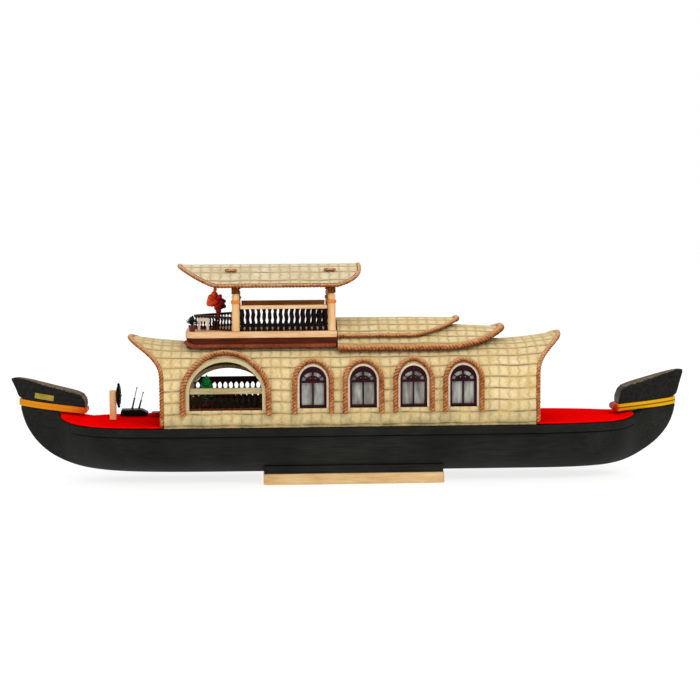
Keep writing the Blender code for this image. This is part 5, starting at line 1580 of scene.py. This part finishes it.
# The helm: a thick turned wheel with eight spokes and grips, black lacquered, that spins on a pin
# in a square pale post. Seen from the side it is one black spindle shape.
WHEEL_CENTRE = (208.8, 0.0, 77.4)
RIM_RADIUS = 7.5
RIM_THICK = 1.2
RIM_DEPTH = 1.7
HUB_PROFILE = ((1.3, -2.0), (2.2, -2.0), (2.6, -1.6), (2.6, 1.6), (2.2, 2.0), (1.3, 2.0))
HUB_SIDES = 24
SPOKES = 8
SPOKE_ROWS = (
    (1.8, 1.2), (3.2, 0.95), (4.4, 1.4), (5.6, 0.95), (8.4, 1.0), (9.0, 1.25), (9.9, 1.3),
    (10.9, 0.95), (11.3, 0.5),
)

bpy.ops.object.select_all(action="DESELECT")
bpy.ops.mesh.primitive_torus_add(
    major_radius=RIM_RADIUS * MM, minor_radius=RIM_THICK * MM, major_segments=48, minor_segments=10,
    location=(0, 0, 0),
)
rim = bpy.context.object
rim.data.transform(Matrix.Scale(RIM_DEPTH / RIM_THICK, 4, Vector((0, 0, 1))))
turns = [2.0 * math.pi * k / HUB_SIDES for k in range(HUB_SIDES)]
rings = [[(r * math.cos(turn), r * math.sin(turn), z) for turn in turns] for r, z in HUB_PROFILE]
hub = skin("hub", rings, closed=True)
spokes = []
for number in range(SPOKES):
    spoke = turned("spoke", SPOKE_ROWS, 8)
    spoke.data.transform(
        Matrix.Rotation(2.0 * math.pi * number / SPOKES, 4, "Z") @ Matrix.Rotation(0.5 * math.pi, 4, "Y")
    )
    spokes.append(spoke)
wheel = join("turned_wheel", [rim, hub] + spokes)
place_mesh(wheel, WHEEL_CENTRE, Matrix.Rotation(0.5 * math.pi, 4, "Y"))
bpy.ops.object.shade_smooth_by_angle(angle=math.radians(50.0))
fit(wheel, gloss_black, body="helm")
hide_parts("helm_wheel")
post_piece = eased_copy("helm_post", "helm_standard", 0.35, 2)
fit(post_piece, post_wood)
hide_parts("helm_post")

# The deck locker: a low black box with a sloped end, and two thin steel levers in dark sleeves.
# The red step behind it is a block of wood under a deep red enamel.
LEVERS = (
    ("fore", (199.2, -29.0, 60.9), (194.4, -29.0, 81.6)),
    ("aft", (193.0, -29.0, 60.9), (188.6, -29.0, 77.2)),
)
LEVER_SLEEVE = 0.46
LID = ((189.6, -36.4, 60.6), (208.8, -21.6, 61.0))
STEEL_SCRATCH = 2.0

locker = eased_copy("deck_locker", "black_locker", 0.5, 2)
fit(locker, gloss_black)
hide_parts("deck_locker")
lid = block("locker_lid", *LID, 0.15)
fit(lid, gloss_black)

# Drawn steel wire, a little scratched: grey metal with a broken shine
steel, tree, shader = new_finish("drawn_steel_wire", {"Metallic": 0.85, "Roughness": 0.38})
place = add(tree, "TexCoord", {}, {})
scratch = add(tree, "TexNoise", {}, {
    "Vector": place.outputs["Object"], "Scale": 1000.0 / STEEL_SCRATCH, "Detail": 4.0,
})
colour = add(tree, "ValToRGB", {
    "stops": ((0.35, "#7d7c79"), (0.5, "#a3a29f"), (0.68, "#bdbcb9")),
}, {"Fac": scratch.outputs[0]})
gloss = add(tree, "MapRange", {}, {"Value": scratch.outputs[0], "To Min": 0.3, "To Max": 0.5})
wire(tree, shader, {"Base Color": colour.outputs[0], "Roughness": gloss.outputs[0]})

# Sleeves and step: thick enamel dipped or brushed over wood, its grain all but filled
sleeve_enamel = planed_wood(
    "dark_sleeve_enamel", ("#1c1c1c", "#34332f", "#4a4945"), 2, 0.9, 0.45, 0.15, 0.3
)
for end, foot, head in LEVERS:
    lean = Vector(head) - Vector(foot)
    length = lean.length
    turn = lean.to_track_quat("Z", "Y").to_matrix().to_4x4()
    rod = turned("lever_rod_" + end, (
        (0.4, 0.45), (length - 1.8, 0.42), (length - 1.2, 0.7), (length - 0.4, 0.7), (length, 0.4),
    ), 12)
    place_mesh(rod, foot, turn)
    fit(rod, steel)
    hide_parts("lever_" + end)
    sleeve = turned("lever_sleeve_" + end, (
        (0.6, 1.15), (1.2, 1.2), (1.6, 0.85), (length * LEVER_SLEEVE, 0.75),
        (length * LEVER_SLEEVE + 0.5, 0.95), (length * LEVER_SLEEVE + 1.1, 0.55),
    ), 12)
    place_mesh(sleeve, foot, turn)
    fit(sleeve, sleeve_enamel)
deep_red = planed_wood(
    "deep_red_enamelled_block", ("#7c0710", "#b00912", "#c81420"), 0, 2.0, 0.35, 0.15, 0.05
)
step_piece = eased_copy("deck_step", "red_step", 0.8)
fit(step_piece, deep_red)
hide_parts("deck_step")

# The pots and the two leafy plants: small turned pots of clay under a maroon glaze, and leaves cut
# from dyed paper and glued round a wire stem, dark green on the balcony and bright in the lounge.
POTS = (
    ("balcony_pot", 140.0, 30.2, 137.7, 3.4, 5.4),
    ("shrub_pot", 119.6, 3.0, 137.7, 3.2, 7.0),
    ("lounge_pot", 128.0, 28.0, 55.3, 4.4, 19.0),
)
POT_ROWS = (
    (0.0, 0.68), (0.08, 0.72), (0.5, 0.86), (0.78, 0.9), (0.8, 1.0), (0.97, 1.0), (1.0, 0.94),
    (1.001, 0.8), (0.9, 0.76),
)
LEAF_WIDTH = 0.36
LEAF_ARCH = 0.22
LEAF_THICKNESS = 0.28
LEAF_TURN = 2.4
PAPER_MOTTLE = 4.167
PAPER_TOOTH = 0.7143

# Glazed clay: dull maroon, streaked a little where the glaze ran
fired_clay = planed_wood("maroon_glazed_clay", ("#3a0d0a", "#5c1812", "#7a281d"), 2, 2.5, 0.5, 0.2, 0.35)
for name, x, y, foot, radius, height in POTS:
    pot = turned("glazed_" + name, [(height * up, radius * out) for up, out in POT_ROWS], 28)
    place_mesh(pot, (x, y, foot))
    fit(pot, fired_clay)
    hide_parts(name)


def leafy(name, middle, foot, height, spread, leaves, size, seed):
    """A bush of thin bent leaves round a stem; spread widens it over its length and width."""
    chance = random.Random(seed)
    stem = ((0.0, 0.7), (height * 0.35, 0.6), (height * 0.7, 0.45), (height * 0.8, 0.2))
    made = [turned("stem", stem, 8)]
    for number in range(leaves):
        bpy.ops.object.select_all(action="DESELECT")
        bpy.ops.mesh.primitive_grid_add(x_subdivisions=5, y_subdivisions=3, size=1.0)
        leaf = bpy.context.object
        length = size * chance.uniform(0.8, 1.25)
        for corner in leaf.data.vertices:
            out = corner.co.x + 0.5
            belly = math.sin(math.pi * min(out * 0.94 + 0.05, 1.0)) ** 0.8
            width = LEAF_WIDTH * length * belly
            corner.co = Vector((
                out * length, corner.co.y * width,
                LEAF_ARCH * length * math.sin(1.9 * out) - 0.3 * abs(corner.co.y) * width,
            )) * MM
        solid = leaf.modifiers.new("solid", "SOLIDIFY")
        solid.thickness = LEAF_THICKNESS * MM
        bpy.ops.object.modifier_apply(modifier="solid")
        up_share = (number + 0.5) / leaves
        turn = Matrix.Rotation(number * LEAF_TURN + chance.uniform(-0.3, 0.3), 4, "Z")
        tilt_up = Matrix.Rotation(-0.25 - 1.0 * up_share + chance.uniform(-0.2, 0.2), 4, "Y")
        rise = Matrix.Translation((0.0, 0.0, height * (0.18 + 0.58 * up_share) * MM))
        leaf.data.transform(Matrix.Diagonal((spread, spread, 1.0, 1.0)) @ rise @ turn @ tilt_up)
        made.append(leaf)
    bush = join(name, made)
    place_mesh(bush, (*middle, foot))
    bpy.ops.object.shade_smooth_by_angle(angle=math.radians(50.0))
    return bush


def dyed_leaf(name, codes, roughness):
    """Dyed paper: blotchy colour, nearly matt, its tooth drawn coarser than it is so as to show."""
    material, tree, shader = new_finish(name, {"IOR": 1.45, "Specular IOR Level": 0.25})
    place = add(tree, "TexCoord", {}, {})
    blotch = add(tree, "TexNoise", {}, {
        "Vector": place.outputs["Object"], "Scale": 1000.0 / PAPER_MOTTLE, "Detail": 5.0,
    })
    stops = tuple(zip((0.3, 0.5, 0.7), codes))
    colour = add(tree, "ValToRGB", {"stops": stops}, {"Fac": blotch.outputs[0]})
    tooth = add(tree, "TexNoise", {}, {
        "Vector": place.outputs["Object"], "Scale": 1000.0 / PAPER_TOOTH,
    })
    rough = add(tree, "MapRange", {}, {
        "Value": tooth.outputs[0], "To Min": roughness - 0.08, "To Max": roughness + 0.08,
    })
    bump = add(tree, "Bump", {}, {"Height": tooth.outputs[0], "Strength": 0.3, "Distance": 0.2 * MM})
    wire(tree, shader, {
        "Base Color": colour.outputs[0], "Roughness": rough.outputs[0], "Normal": bump.outputs[0],
    })
    return material


dark_leaf = dyed_leaf("dark_green_dyed_paper", ("#081410", "#0e2418", "#1c3e2c"), 0.55)
bright_leaf = dyed_leaf("bright_green_dyed_paper", ("#0a6a2c", "#129a42", "#3ccf68"), 0.55)
bush = leafy(
    "balcony_bush", middle=(140.0, 30.2), foot=142.4, height=5.5, spread=1.5, leaves=30, size=4.6,
    seed=71,
)
fit(bush, dark_leaf)
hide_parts("balcony_plant")
bush = leafy(
    "lounge_bush", middle=(128.0, 28.0), foot=73.0, height=22.0, spread=1.5, leaves=60, size=7.6,
    seed=73,
)
fit(bush, bright_leaf)
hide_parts("lounge_plant")

# The red shrub: a lump of foam torn into lobes like dried coral, dyed red and brushed with orange
# on top and on the side towards the bow, and stuck on a short stem in its pot.
SHRUB_MIDDLE = (119.6, 3.0)
SHRUB_FOOT = 146.4
SHRUB_STRETCH = 1.17
# offset along and across the boat, height and radius of each lobe
LOBES = (
    (3.6, 0.0, 161.6, 4.3), (5.6, 1.0, 158.4, 2.6), (1.2, -1.0, 165.4, 3.2), (0.4, 0.6, 169.3, 1.7),
    (-5.2, 0.0, 159.8, 3.4), (-3.8, 2.0, 163.8, 2.2), (-7.4, -1.0, 156.2, 2.0), (-1.6, 0.0, 156.6, 3.6),
    (-2.4, 0.0, 152.6, 2.6), (-2.2, 0.2, 149.2, 1.7), (-1.6, 0.0, 146.4, 1.2), (5.0, -2.5, 163.4, 2.2),
    (2.6, 2.6, 158.6, 2.8), (-4.6, -2.6, 155.6, 2.4), (-0.4, 3.0, 160.4, 3.0), (-0.6, -3.0, 160.4, 3.0),
)
LOBE_BUDS = 7
BUD_OUT = 0.78
SHRUB_VOXEL = 0.42
FOAM_BLOTCH = 3.846
FOAM_WANDER = 7.0
ORANGE_FROM = 171.5
ORANGE_TO = 186.5

chance = random.Random(83)
grown = []
for dx, dy, z, radius in LOBES:
    middle = Vector((dx, dy, SHRUB_FOOT + SHRUB_STRETCH * (z - SHRUB_FOOT)))
    bulbs = [(middle, radius)]
    for _ in range(LOBE_BUDS):
        way = Vector([chance.gauss(0.0, 1.0) for _ in range(3)]).normalized()
        bulbs.append((middle + way * radius * BUD_OUT, radius * chance.uniform(0.34, 0.5)))
    for place, size in bulbs:
        bpy.ops.object.select_all(action="DESELECT")
        bpy.ops.mesh.primitive_ico_sphere_add(subdivisions=2, radius=size * MM, location=(0, 0, 0))
        lobe = bpy.context.object
        lobe.data.transform(Matrix.Translation((place + Vector((*SHRUB_MIDDLE, 0.0))) * MM))
        grown.append(lobe)
shrub = join("coral_shrub", grown)
shrub.data.remesh_voxel_size = SHRUB_VOXEL * MM
bpy.ops.object.voxel_remesh()
bpy.ops.object.shade_smooth()

# Dyed foam: matt, deep red low down and orange where the brush went over it
coral, tree, shader = new_finish("dyed_red_foam", {"IOR": 1.45, "Specular IOR Level": 0.3})
place = add(tree, "TexCoord", {}, {})
axes = add(tree, "SeparateXYZ", {}, {"Vector": place.outputs["Object"]})
blotch = add(tree, "TexNoise", {}, {
    "Vector": place.outputs["Object"], "Scale": 1000.0 / FOAM_BLOTCH, "Detail": 4.0,
})
drift = add(tree, "Math", {"operation": "MULTIPLY_ADD"}, {
    0: blotch.outputs[0], 1: FOAM_WANDER * MM, 2: axes.outputs["X"],
})
lean = add(tree, "Math", {"operation": "MULTIPLY_ADD"}, {
    0: axes.outputs["Z"], 1: 0.35, 2: drift.outputs[0],
})
share = add(tree, "MapRange", {}, {
    "Value": lean.outputs[0], "From Min": ORANGE_FROM * MM, "From Max": ORANGE_TO * MM,
})
colour = add(tree, "ValToRGB", {
    "stops": ((0.0, "#5c0508"), (0.35, "#a00a0c"), (0.6, "#d8260c"), (1.0, "#ee5c1c")),
}, {"Fac": share.outputs[0]})
bump = add(tree, "Bump", {}, {"Height": blotch.outputs[0], "Strength": 0.4, "Distance": 0.5 * MM})
rough = add(tree, "MapRange", {}, {"Value": blotch.outputs[0], "To Min": 0.4, "To Max": 0.7})
wire(tree, shader, {
    "Base Color": colour.outputs[0], "Roughness": rough.outputs[0], "Normal": bump.outputs[0],
})
fit(shrub, coral)
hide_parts("red_shrub")

# The ropes' section was only a guide, so it is removed
bpy.data.objects.remove(strands, do_unlink=True)
low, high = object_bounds()
